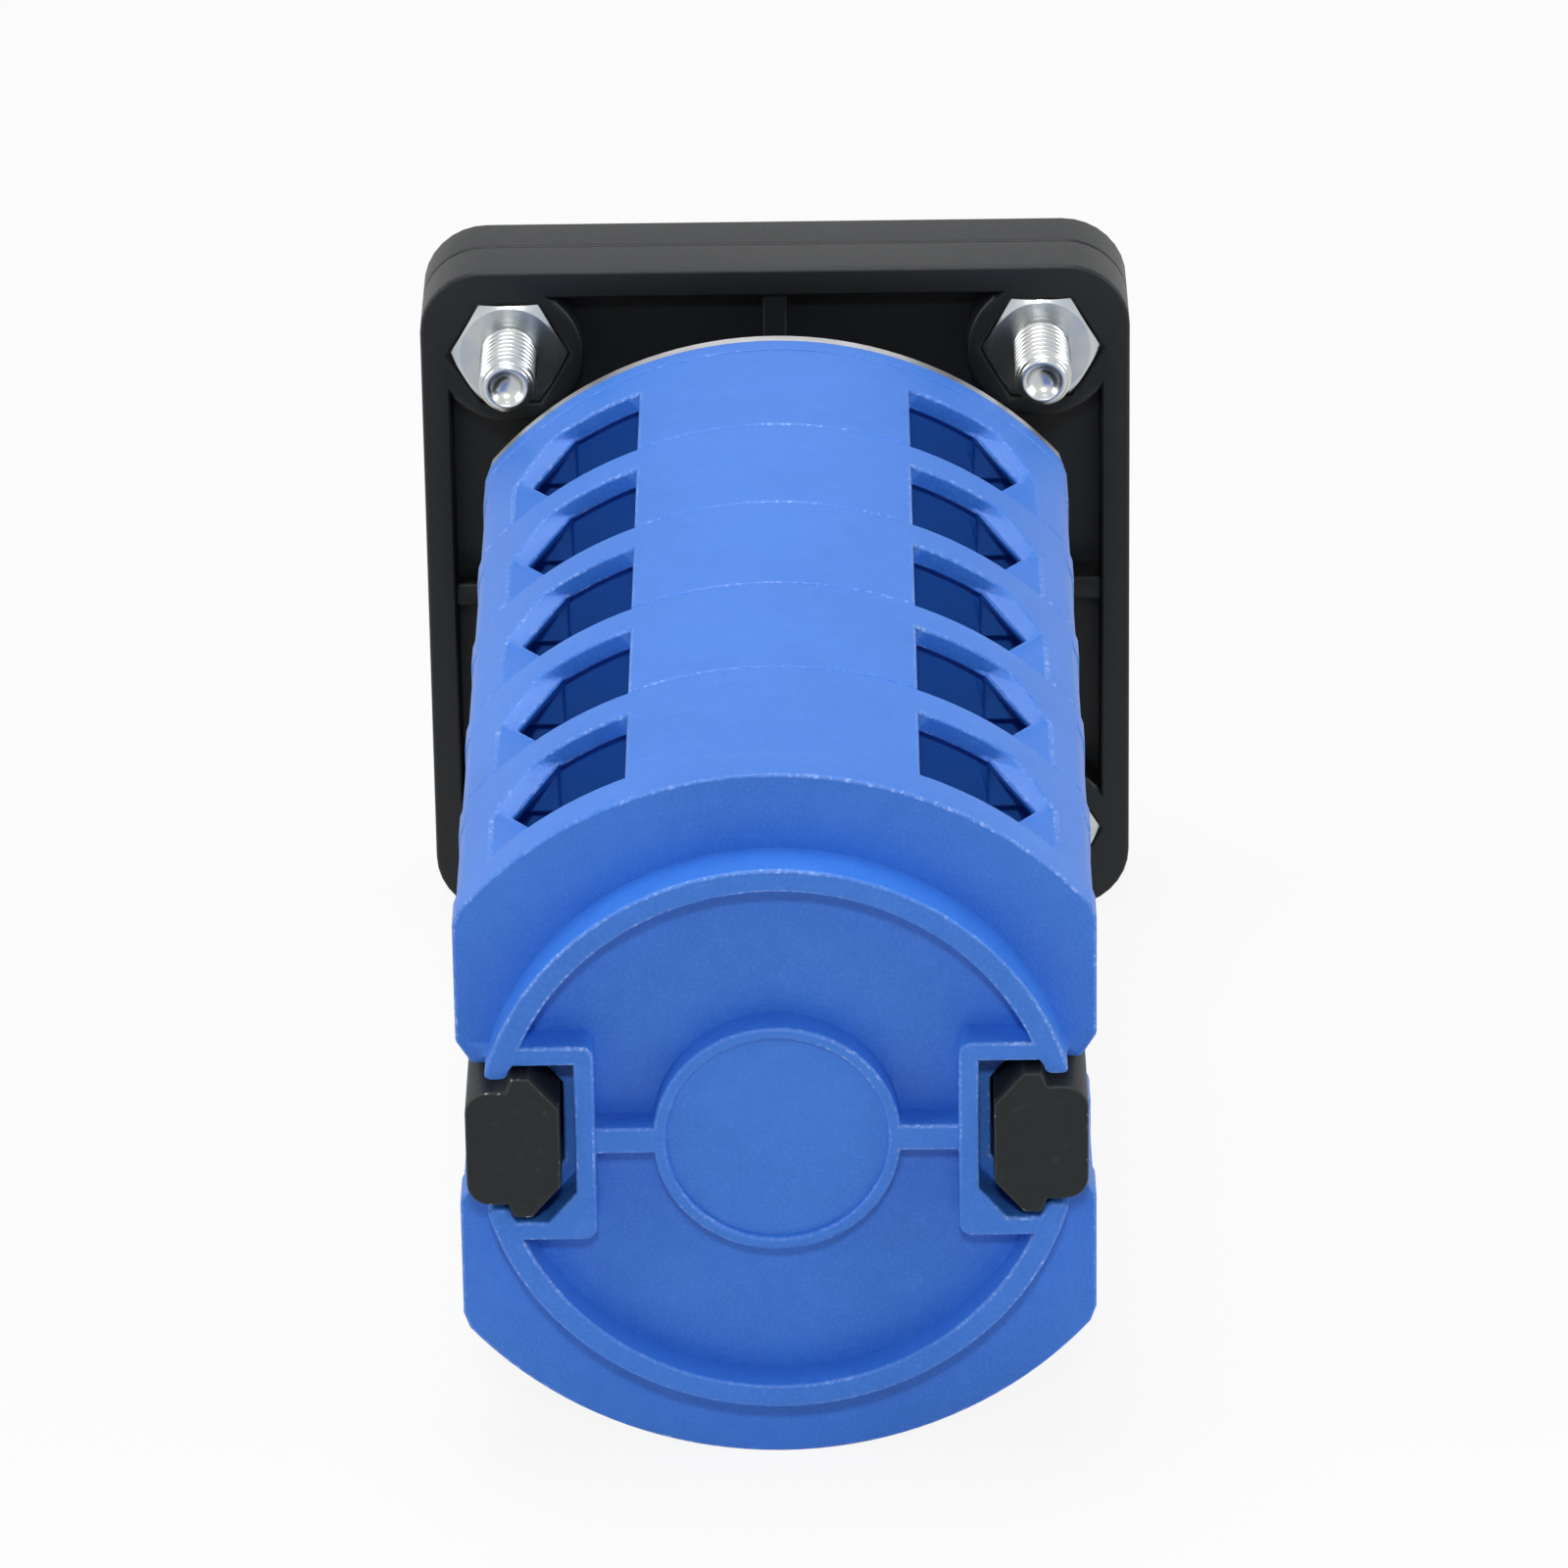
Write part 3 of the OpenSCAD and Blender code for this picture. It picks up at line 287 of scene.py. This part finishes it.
def blue_plastic(name, wear):
    """wear is how much of the pale bruised colour its worst specks show."""
    blue = Finish(name, Specular_IOR_Level=0.42)
    cloud = blue.noise(14 * mm, 3)
    mottle = blue.noise(1.3 * mm, 3)
    grain = blue.noise(0.22 * mm, 2)
    speck = blue.noise(0.30 * mm, 3)
    shade = blue.mix(cloud.rise(0.3, 0.7), blue_deep, blue_bright)
    pale = grain.rise(0.4, 0.75) * grain_share + mottle.rise(0.4, 0.75) * mottle_share
    dusted = blue.mix(pale, shade, blue_grain)
    rubbed = blue.noise(5 * mm, 2)
    worn = wear * (0.25 + 0.75 * rubbed.rise(0.4, 0.65)) * (0.15 + 0.85 * speck.rise(0.5, 0.68))
    outside = blue.mix(worn, dusted, blue_rubbed)
    # painted shade: inside the wire chambers the colour turns a darker navy
    blue.colour(blue.mix(chamber_shade_mask(blue), outside, blue_chamber_shade))
    blue.roughness(0.38 + 0.14 * grain)
    blue.bump(grain + 0.4 * mottle, 0.035 * mm)
    return blue.material


blue_moulding = blue_plastic("blue_plastic", 0.0)
blue_edge = blue_plastic("blue_edge", edge_wear)
print("finishes", blue_moulding.name, blue_edge.name)

# %% [markdown]
# The frame, the knob and the tie bars are black. Black plastic is judged by its gloss: the frame
# has a smooth satin top that picks up the white room, the bars are duller and chipped along their
# edges, where the pale filler of the plastic shows. One function makes each of them.

# %% Black plastics
filler = (0.62, 0.64, 0.64)


def dark_plastic(name, base, blur, grain_size, scuff_share, chip_share=0.0, mirror=0.3):
    """blur is the least roughness. The two shares say how much of the base colour the scuffs and
    the chips replace, and mirror is the level of its reflections."""
    dark = Finish(name, Specular_IOR_Level=mirror)
    grain = dark.noise(grain_size, 2)
    cloud = dark.noise(9 * mm, 3)
    scuff = dark.noise(0.7 * mm, 4).rise(0.58, 0.8)
    chip = dark.noise(0.4 * mm, 2).rise(0.64, 0.70)
    pale = tuple(0.03 + 2 * c for c in base)
    worn = dark.mix(scuff * scuff_share, base, pale)
    dark.colour(dark.mix(chip * chip_share, worn, filler))
    dark.roughness(blur + 0.10 * grain + 0.08 * cloud)
    dark.bump(grain, 0.010 * mm)
    return dark.material


frame_plastic = dark_plastic("black_plastic", (0.0085, 0.0098, 0.0114), 0.36, 0.35 * mm, 0.12)
bar_plastic = dark_plastic("bar_plastic", (0.0165, 0.0195, 0.0205), 0.46, 0.3 * mm, 0.25,
                           mirror=0.2)
bar_edge = dark_plastic("bar_edge", (0.030, 0.034, 0.035), 0.46, 0.3 * mm, 0.40,
                        chip_share=0.5, mirror=0.2)
knob_plastic = dark_plastic("knob_plastic", (0.011, 0.011, 0.012), 0.30, 0.4 * mm, 0.08)
edge_of = {blue_moulding.name: blue_edge, bar_plastic.name: bar_edge}
print("finishes", frame_plastic.name, bar_plastic.name, bar_edge.name, knob_plastic.name)

# %% [markdown]
# The metals differ in colour, in how much they blur what they mirror, and in the marks of how
# they were made. Zinc plating on the screws, nuts and washers is bright with a bluish and straw
# tint in patches, and the rolled steel of the plate and the springs has fine lines along the
# sheet. Both are one function of two colours and two noises, because only the numbers differ.

# %% Metals
metal_relief = 0.002 * mm


def plain_metal(name, dull, bright, blur, size, stretch=(1, 1, 1)):
    """Patches between two colours, and lines of a size that may be stretched along one axis."""
    metal = Finish(name, Metallic=1.0)
    patch = metal.noise(3 * mm, 3)
    lines = metal.noise(size, 3, stretch)
    metal.colour(metal.mix(patch.rise(0.35, 0.65), dull, bright))
    metal.roughness(blur + 0.16 * lines * patch)
    metal.bump(lines, metal_relief)
    return metal.material


zinc = plain_metal("zinc", (0.44, 0.48, 0.52), (0.56, 0.57, 0.55), 0.20, 0.25 * mm)
steel = plain_metal("steel", (0.50, 0.50, 0.52), (0.62, 0.62, 0.63), 0.30, 0.12 * mm, (12, 1, 1))
print("finishes", zinc.name, steel.name)

# %% [markdown]
# The current runs through strips of brass, and where two strips meet each carries a button of
# silver, which burns less than brass does. A strip and its buttons are one node, so they could be
# told apart by painting faces. The height over the axis does it with less, since the buttons are
# all that lies between the strips.

# %% Brass with silver buttons
# heights over the axis between which the buttons lie
button_inner, button_outer = 10.02 * mm, 12.26 * mm
brass_dull, brass_bright = (0.70, 0.49, 0.19), (0.80, 0.60, 0.27)
button_silver = (0.80, 0.80, 0.79)


def silvered_brass():
    """Brass, and silver where the height over the axis is between the two limits."""
    metal = Finish("brass", Metallic=1.0)
    patch = metal.noise(2.5 * mm, 3)
    height = abs(metal.axes()[2])
    over_inner = height.rise(button_inner, button_inner + hair)
    button = over_inner * (1 - height.rise(button_outer, button_outer + hair))
    strip = metal.mix(patch.rise(0.35, 0.65), brass_dull, brass_bright)
    metal.colour(metal.mix(button, strip, button_silver))
    metal.roughness(0.24 + 0.2 * patch)
    return metal.material


brass = silvered_brass()
print("finish", brass.name)

# %% [markdown]
# The star wheel, the cams and the plungers slide on each other, so they are moulded in plain
# nylon, which needs no oil. It is off-white and waxy. Real nylon lets some light in, but these
# pieces lie in the dark inside, so a pale satin surface with a soft cloud is enough.

# %% Nylon
nylon_ivory, nylon_white = (0.78, 0.76, 0.68), (0.84, 0.83, 0.77)


def waxy_nylon():
    waxy = Finish("nylon", Specular_IOR_Level=0.45)
    cloud = waxy.noise(5 * mm, 3)
    grain = waxy.noise(0.3 * mm, 2)
    waxy.colour(waxy.mix(cloud.rise(0.3, 0.7), nylon_ivory, nylon_white))
    waxy.roughness(0.42 + 0.12 * grain)
    waxy.bump(grain, 0.006 * mm)
    return waxy.material


nylon = waxy_nylon()
print("finish", nylon.name)

# %% [markdown]
# The dial is a disc of aluminium, brushed along X and then printed with a black border. Brushing
# is noise that is stretched sixty times along one axis. The border could be a ring of its own, but
# print has no height to speak of, so it is the part of the disc that is far from the axis.

# %% Dial finish
dial_border, border_blur = 19.55 * mm, 0.03 * mm
dial_dull, dial_bright = (0.56, 0.57, 0.58), (0.70, 0.71, 0.72)
border_black = (0.012, 0.012, 0.013)
dial_metallic = 0.95


def dial_metal():
    """Brushed lines run along X, and the border is where the distance from the axis is large."""
    dial = Finish("dial")
    lines = dial.noise(0.09 * mm, 3, (60, 1, 1))
    x, _, z = dial.axes()
    border = (x * x + z * z).root().rise(dial_border, dial_border + border_blur)
    silver = dial.mix(lines, dial_dull, dial_bright)
    dial.colour(dial.mix(border, silver, border_black))
    dial.feed(dial.shader.inputs["Metallic"], dial_metallic - dial_metallic * border)
    dial.roughness(0.30 + 0.18 * lines)
    dial.bump(lines, metal_relief)
    return dial.material


dial_face = dial_metal()
print("finish", dial_face.name)

# %% [markdown]
# Every CAD node keeps its mesh and takes a finish by what it is made of. The record already says
# which slot each node belongs to, so a small table from slot to finish dresses all sixty nodes.
# The knob and its cap share the frame's slot, but hands polish them, so they shine more.

# %% Dressing the CAD nodes
finish_of_slot = {
    "blue_plastic": blue_moulding, "black_plastic": frame_plastic, "bar_plastic": bar_plastic,
    "zinc": zinc, "steel": steel, "brass": brass, "nylon": nylon, "dial": dial_face,
}
slot_of_node = {part["node"]: part["material_slot"] for part in frame["record"]["subparts"]}
for name, node in nodes.items():
    node.data.materials.clear()
    node.data.materials.append(finish_of_slot[slot_of_node[name]])
for name in ("knob", "knob_cap"):
    nodes[name].data.materials[0] = knob_plastic
print("dressed", len(nodes), "nodes")

# %% [markdown]
# No moulded edge is perfectly sharp: a radius of a tenth of a millimetre or two catches a thin
# line of light, and that line is what makes a moulding look real. We copy a CAD mesh, join its
# loose triangles, and let a Bevel modifier round the edges that stand out by more than 30 degrees.
# Only outer edges get rubbed, so inner corners are marked sharp and left as they are. Slivers
# narrower than a twentieth of a millimetre have no room for a radius and are merged away first.
# CAD faces are cut into long thin triangles, and a bevel that slides along their edges would widen
# there, so sliding is off and every strip keeps its width. The rounded strips can have a finish of
# their own, so wear sits exactly on the edges. Large flat faces should rule the shading at their
# borders, which is what weighted normals do. The copy stands for the node, which stays hidden in
# place. The nuts keep their CAD mesh, since their chamfers are already part of it.

# %% Meshes in and out
def opened(mesh, gap):
    """An editable copy of a mesh, in which points closer than gap are one."""
    work = bmesh.new()
    work.from_mesh(mesh)
    bmesh.ops.remove_doubles(work, verts=work.verts, dist=gap)
    return work


def closed(work, name, *materials):
    """A new mesh from an editable one, with its materials in their slots."""
    mesh = bpy.data.meshes.new(name)
    work.to_mesh(mesh)
    work.free()
    for material in materials:
        mesh.materials.append(material)
    return mesh


print("mesh helpers ready")

# %% Eased mouldings
sharp_turn = math.radians(30)
sliver = 0.05 * mm
needle = sliver / 4
ease_steps, edge_slot = 2, 1
# radius of each eased node, in mm
eases = {"end_cap": 0.20, "front_cover": 0.08, "rear_flange": 0.25, "front_bezel": 0.25,
         "tie_bar_left": 0.12, "tie_bar_right": 0.12, "knob": 0.20, "detent_housing": 0.15,
         "deck_1": 0.20, "deck_2": 0.20, "deck_3": 0.20, "deck_4": 0.20, "deck_5": 0.20}


def eased(name, radius):
    """A copy of CAD node name whose sharp edges have a small radius, in metres."""
    source = nodes[name]
    work = opened(source.data, sliver)
    bmesh.ops.dissolve_degenerate(work, edges=work.edges, dist=needle)
    weight = work.edges.layers.float.new("bevel_weight_edge")
    for edge in work.edges:
        turn = edge.calc_face_angle_signed(0)
        edge[weight] = float(turn > sharp_turn)
        edge.smooth = turn > -sharp_turn
    face_finish = source.data.materials[0]
    mesh = closed(work, name + "_eased", face_finish, edge_of.get(face_finish.name, face_finish))
    mesh.polygons.foreach_set("use_smooth", np.ones(len(mesh.polygons), bool))
    piece = linked(name + "_eased", mesh)
    bevel = piece.modifiers.new("ease", "BEVEL")
    bevel.width = radius
    bevel.segments = ease_steps
    bevel.limit_method = "WEIGHT"
    bevel.use_clamp_overlap = False
    bevel.loop_slide = False
    bevel.material = edge_slot
    piece.modifiers.new("shade", "WEIGHTED_NORMAL").keep_sharp = True
    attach(piece, source["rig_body"])
    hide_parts(name)


for name, radius in eases.items():
    eased(name, radius * mm)
print("eased", len(eases), "nodes")

# %% [markdown]
# A thread is what makes a screw a screw, and its flanks are why the four screw ends shine: they
# tilt half of the metal towards the lamp overhead. In CAD the free end is a plain cylinder. We
# could twist a profile with a Screw modifier, but a formula is shorter: the radius goes up and
# down with the height along the screw plus the angle round it, which is a helix. The rolled end of
# a real screw has a small cup, so the last rings turn inwards and sink.

# %% Surfaces on a grid
weld = 0.0005 * mm


def closed_surface(name, rings):
    """Mesh of a closed surface. rings holds one closed ring of points after another, and the first
    and the last ring are single points."""
    count, sides, _ = rings.shape
    index = np.arange(count * sides).reshape(count, sides)
    beside = np.roll(index, -1, axis=1)
    faces = np.stack([index[:-1], beside[:-1], beside[1:], index[1:]], axis=-1).reshape(-1, 4)
    mesh = bpy.data.meshes.new(name)
    mesh.from_pydata(rings.reshape(-1, 3).tolist(), [], faces.tolist())
    work = opened(mesh, weld)
    bmesh.ops.recalc_face_normals(work, faces=work.faces)
    work.to_mesh(mesh)
    work.free()
    return mesh


print("surface helper ready")

# %% Threaded ends
thread_pitch, thread_root, thread_crest = 0.7 * mm, 1.62 * mm, 1.95 * mm
thread_start, thread_stop = 4.60 * mm, 10.45 * mm
thread_sides, rings_per_pitch = 56, 10
flank_slope, valley_cut = 1.5, 0.22
fade_in, fade_out = 0.15 * mm, 0.45 * mm
# radius and place along the screw of its rolled end, in mm: rim, flat, then the cup to its middle
rolled_end = np.array([(1.66, 10.50), (1.58, 10.62), (1.46, 10.69), (1.32, 10.70), (1.22, 10.66),
                       (1.05, 10.45), (0.80, 10.22), (0.45, 10.10), (0.0, 10.06)]) * mm


def threaded_end(x, z):
    """Radius = root + (crest - root) * ridge * fade, and ridge = slope * triangle - cut, kept
    between 0 and 1, where triangle is a wave of place along the screw / pitch + angle / full turn.
    The ridge fades out at both ends, and the rolled end follows as plain rings."""
    angle = np.linspace(0, 2 * math.pi, thread_sides, endpoint=False)
    along = np.arange(thread_start, thread_stop, thread_pitch / rings_per_pitch)
    phase = along[:, None] / thread_pitch + angle[None, :] / (2 * math.pi)
    ridge = np.clip(flank_slope * np.abs(2 * (phase % 1) - 1) - valley_cut, 0, 1)
    fade = np.clip((along - thread_start) / fade_in, 0, 1)
    fade *= np.clip((thread_stop - along) / fade_out, 0, 1)
    radius = thread_root + (thread_crest - thread_root) * ridge * fade[:, None]
    radius = np.vstack([0 * angle, radius, np.repeat(rolled_end[:, :1], len(angle), axis=1)])
    along = np.concatenate([[thread_start], along, rolled_end[:, 1]])
    rings = np.stack([x + radius * np.cos(angle), np.repeat(along[:, None], len(angle), axis=1),
                      z + radius * np.sin(angle)], axis=-1)
    return closed_surface("threaded_end", rings)


print("turns of thread", round((thread_stop - thread_start) / thread_pitch, 1))

# %% Mounting screws
screw_half = 18 * mm
screw_places = [(x * screw_half, z * screw_half) for x in (-1, 1) for z in (-1, 1)]
screw_gap, cut_overlap, cut_tolerance = 0.002 * mm, 0.02 * mm, 0.0001 * mm
crease = math.radians(35)


def mounting_screws():
    """A copy of the CAD screws, cut off inside the nuts, with a threaded end on each."""
    work = opened(nodes["mounting_screws"].data, screw_gap)
    bmesh.ops.bisect_plane(work, geom=work.verts[:] + work.edges[:] + work.faces[:],
                           dist=cut_tolerance, plane_co=(0, thread_start + cut_overlap, 0),
                           plane_no=(0, 1, 0), clear_outer=True)
    bmesh.ops.holes_fill(work, edges=[e for e in work.edges if e.is_boundary])
    for x, z in screw_places:
        work.from_mesh(threaded_end(x, z))
    mesh = closed(work, "mounting_screws_threaded", zinc)
    mesh.shade_smooth()
    mesh.set_sharp_from_angle(angle=crease)
    piece = linked("mounting_screws_threaded", mesh)
    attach(piece, "housing")
    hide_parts("mounting_screws")
    return piece


print("screw faces", len(mounting_screws().data.polygons))

# %% [markdown]
# The dial round the knob carries the three positions, 1, 0 and 2, printed in black with a short
# tick under each, sixty degrees apart. Print could be painted by the material, but letters drawn
# by shader maths are coarse. A text curve that is turned into a mesh and laid two hundredths of a
# millimetre in front of the metal has sharp edges from any distance.

# %% Ink, numbers and ticks
print_height, number_size = 0.02 * mm, 2.9 * mm
tick_in, tick_out, tick_half = 15.7 * mm, 16.35 * mm, 0.17 * mm
ink_black, ink_grey = (0.010, 0.010, 0.011), (0.020, 0.020, 0.022)


def ink():
    black = Finish("dial_ink", Specular_IOR_Level=0.35)
    spread = black.noise(0.5 * mm, 2)
    black.colour(black.mix(spread, ink_black, ink_grey))
    black.roughness(0.45 + 0.15 * spread)
    return black.material


def number_mesh(text):
    """The outline of a number, filled, extruded and centred on the origin in the XY plane."""
    curve = bpy.data.curves.new("number_" + text, "FONT")
    curve.body = text
    curve.size = number_size
    curve.extrude = print_height / 2
    curve.align_x = "CENTER"
    curve.align_y = "CENTER"
    holder = bpy.data.objects.new("number_" + text, curve)  # only carries the curve
    mesh = bpy.data.meshes.new_from_object(holder)
    bpy.data.objects.remove(holder)
    return mesh


def tick_mesh():
    """A bar: eight corners from the two ends of each of its three sides."""
    x, y, z = np.meshgrid((-tick_half, tick_half), (tick_in, tick_out),
                          (-print_height / 2, print_height / 2), indexing="ij")
    corners = np.stack([x, y, z], axis=-1).reshape(-1, 3)
    mesh = bpy.data.meshes.new("tick")
    mesh.from_pydata(corners.tolist(), [], [(0, 1, 3, 2), (4, 6, 7, 5), (0, 4, 5, 1),
                                            (2, 3, 7, 6), (0, 2, 6, 4), (1, 5, 7, 3)])
    return mesh


print("tick length in mm", round((tick_out - tick_in) / mm, 2))

# %% Dial print
dial_face_y, number_r = -4.70 * mm, 17.85 * mm
dial_degrees = {"1": -60, "0": 0, "2": 60}


def dial_print():
    """Each mark stands upright on a circle round the axis, turned with its place on the dial."""
    work = bmesh.new()
    upright = Matrix.Rotation(math.radians(90), 4, "X")
    to_face = Matrix.Translation((0, dial_face_y - print_height / 2, 0)) @ upright
    to_number = Matrix.Translation((0, number_r, 0))
    for text, degrees in dial_degrees.items():
        turn = Matrix.Rotation(math.radians(-degrees), 4, "Z")
        for mesh, move in ((number_mesh(text), to_number), (tick_mesh(), Matrix())):
            mesh.transform(to_face @ turn @ move)
            work.from_mesh(mesh)
    bmesh.ops.remove_doubles(work, verts=work.verts, dist=weld)
    bmesh.ops.recalc_face_normals(work, faces=work.faces)
    piece = linked("dial_print", closed(work, "dial_print", ink()))
    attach(piece, "housing")
    return piece


print("print faces", len(dial_print().data.polygons))

# %% [markdown]
# The pointer is a groove in the top of the grip, filled with white paint to just below its rim. It
# is a short bar whose front end follows the slope of the grip, so we write its side view as a
# short row of points and carry that from one side of the groove to the other.

# %% Pointer
knob_face_y = -26.9 * mm
# side view of the paint: how far behind the knob's face, and the height over the axis, in mm
pointer_side = np.array([(0.49, 4.4), (0.10, 4.4), (0.08, 4.7), (0.08, 12.2), (0.20, 12.55),
                         (0.49, 13.1)]) * mm
pointer_half = 0.98 * mm
paint_white, paint_stained = (0.80, 0.80, 0.78), (0.68, 0.68, 0.66)
# the rings from one side of the groove to the other, and how large the side view is on each
ring_share = np.array([-1, -1, -0.96, 0.96, 1, 1])
ring_shrink = np.array([0, 0.9, 1, 1, 0.9, 0])


def pointer_paint():
    paint = Finish("pointer_paint", Specular_IOR_Level=0.4)
    stain = paint.noise(1.5 * mm, 3)
    paint.colour(paint.mix(stain.rise(0.35, 0.7), paint_white, paint_stained))
    paint.roughness(0.42 + 0.14 * stain)
    paint.bump(stain, 0.01 * mm)
    return paint.material


def pointer():
    """Ring = middle + (side view - middle) * shrink, at x = share * half width. The first and the
    last ring shrink to a point, which closes both sides."""
    side = np.column_stack([knob_face_y + pointer_side[:, 0], pointer_side[:, 1]])
    middle = side.mean(axis=0)
    drawn = middle + (side - middle) * ring_shrink[:, None, None]
    across = np.broadcast_to((ring_share * pointer_half)[:, None, None], drawn.shape[:2] + (1,))
    mesh = closed_surface("pointer", np.concatenate([across, drawn], axis=-1))
    mesh.materials.append(pointer_paint())
    piece = linked("pointer", mesh)
    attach(piece, "rotor")
    return piece


print("pointer faces", len(pointer().data.polygons))

# %% [markdown]
# A product like this is photographed on white card. The floor is a white sheet, tilted a hair so
# that the switch rests on its frame and on its end cap. More lamps would make it white too, and
# wash out the blue. So most of its white is its own light, seen only by the camera and by mirrors,
# which keeps it pale and still lets it take a soft shadow.

# %% Floor
# where the frame and the end cap touch the floor, and half of its side in metres
floor_front, floor_rear = Vector((0, 4.7, -24.0)) * mm, Vector((0, 83.6, -23.1)) * mm
floor_half = 3.0
card_white, own_light_share = (0.72, 0.725, 0.74, 1.0), 0.9
full_white = (1, 1, 1, 1)


def floor_sheet():
    """A square: the line through both contact points, carried sideways."""
    along = (floor_rear - floor_front).normalized()
    side = Vector((1, 0, 0))
    corners = [floor_front + along * floor_half * a + side * floor_half * b
               for a, b in ((-1, -1), (-1, 1), (1, 1), (1, -1))]
    mesh = bpy.data.meshes.new("floor")
    mesh.from_pydata(corners, [], [(0, 1, 2, 3)])
    floor = linked("floor", mesh)
    return floor


def seen_or_mirrored(tree):
    """1 for rays from the camera and from mirrors, 0 for light that spreads."""
    path = tree.nodes.new("ShaderNodeLightPath")
    total = path.outputs["Is Camera Ray"]
    for other in ("Is Glossy Ray", "Is Transmission Ray"):
        larger = tree.nodes.new("ShaderNodeMath")
        larger.operation = "MAXIMUM"
        tree.links.new(total, larger.inputs[0])
        tree.links.new(path.outputs[other], larger.inputs[1])
        total = larger.outputs[0]
    return total


def floor_finish():
    card = Finish("floor_card", Roughness=0.9, Specular_IOR_Level=0.1)
    card.colour(card_white)
    glow = card.node("ShaderNodeEmission", {}, {"Color": full_white, "Strength": 1.0})
    seen = Value(card, seen_or_mirrored(card.tree))
    both = card.node("ShaderNodeMixShader", {}, {
        0: seen * own_light_share, 1: Value(card, card.shader.outputs[0]), 2: glow})
    card.feed(card.tree.nodes["Material Output"].inputs["Surface"], both)
    return card.material


floor_sheet().data.materials.append(floor_finish())
print("floor side in m", 2 * floor_half)

# %% [markdown]
# The room is treated like the floor: white to the camera and in every mirror, so the zinc has
# something bright to show, and only a little light for the rest, so shadows stay deep enough.

# %% Room
room_light = 0.08


def white_room():
    """A world whose strength is 1 for the camera and for mirrors, and room_light for the rest."""
    world = bpy.data.worlds.new("studio")
    world.use_nodes = True
    room = world.node_tree
    backdrop = room.nodes["Background"]
    backdrop.inputs["Color"].default_value = full_white
    level = room.nodes.new("ShaderNodeMapRange")
    level.inputs["To Min"].default_value = room_light
    level.inputs["To Max"].default_value = 1.0
    room.links.new(seen_or_mirrored(room), level.inputs["Value"])
    room.links.new(level.outputs[0], backdrop.inputs["Strength"])
    return world


bpy.context.scene.world = white_room()
print("world", bpy.context.scene.world.name)

# %% [markdown]
# Four square lamps light the switch. A large one overhead gives the decks their bright tops. One
# at each side, named as seen from the knob, shapes the flanks. A small one above and behind the
# camera lights the end cap and draws the thin shadows under its rings and ribs, because the
# smaller a lamp is, the sharper its shadow.

# %% Lamps
# where each lamp stands and its side, in metres, and its power in watts
lamps = {
    "top_light": ((0.05, -0.02, 0.62), 0.34, 2.6),
    "front_light": ((0.0, 0.77, 0.52), 0.05, 2.25),
    "left_light": ((-0.70, 0.22, 0.30), 0.40, 2.1),
    "right_light": ((0.70, 0.22, 0.30), 0.40, 2.2),
}


def softbox(name, at, size, watts):
    """A square lamp at a point, aimed at the middle of the switch."""
    lamp = bpy.data.lights.new(name, "AREA")
    lamp.size = size
    lamp.energy = watts
    placed = linked(name, lamp)
    middle = (cad_box[0] + cad_box[1]) / 2
    placed.location = Vector(at)
    placed.rotation_euler = (middle - placed.location).to_track_quat("-Z", "Y").to_euler()


for name, setup in lamps.items():
    softbox(name, *setup)
print("lamps", list(lamps))
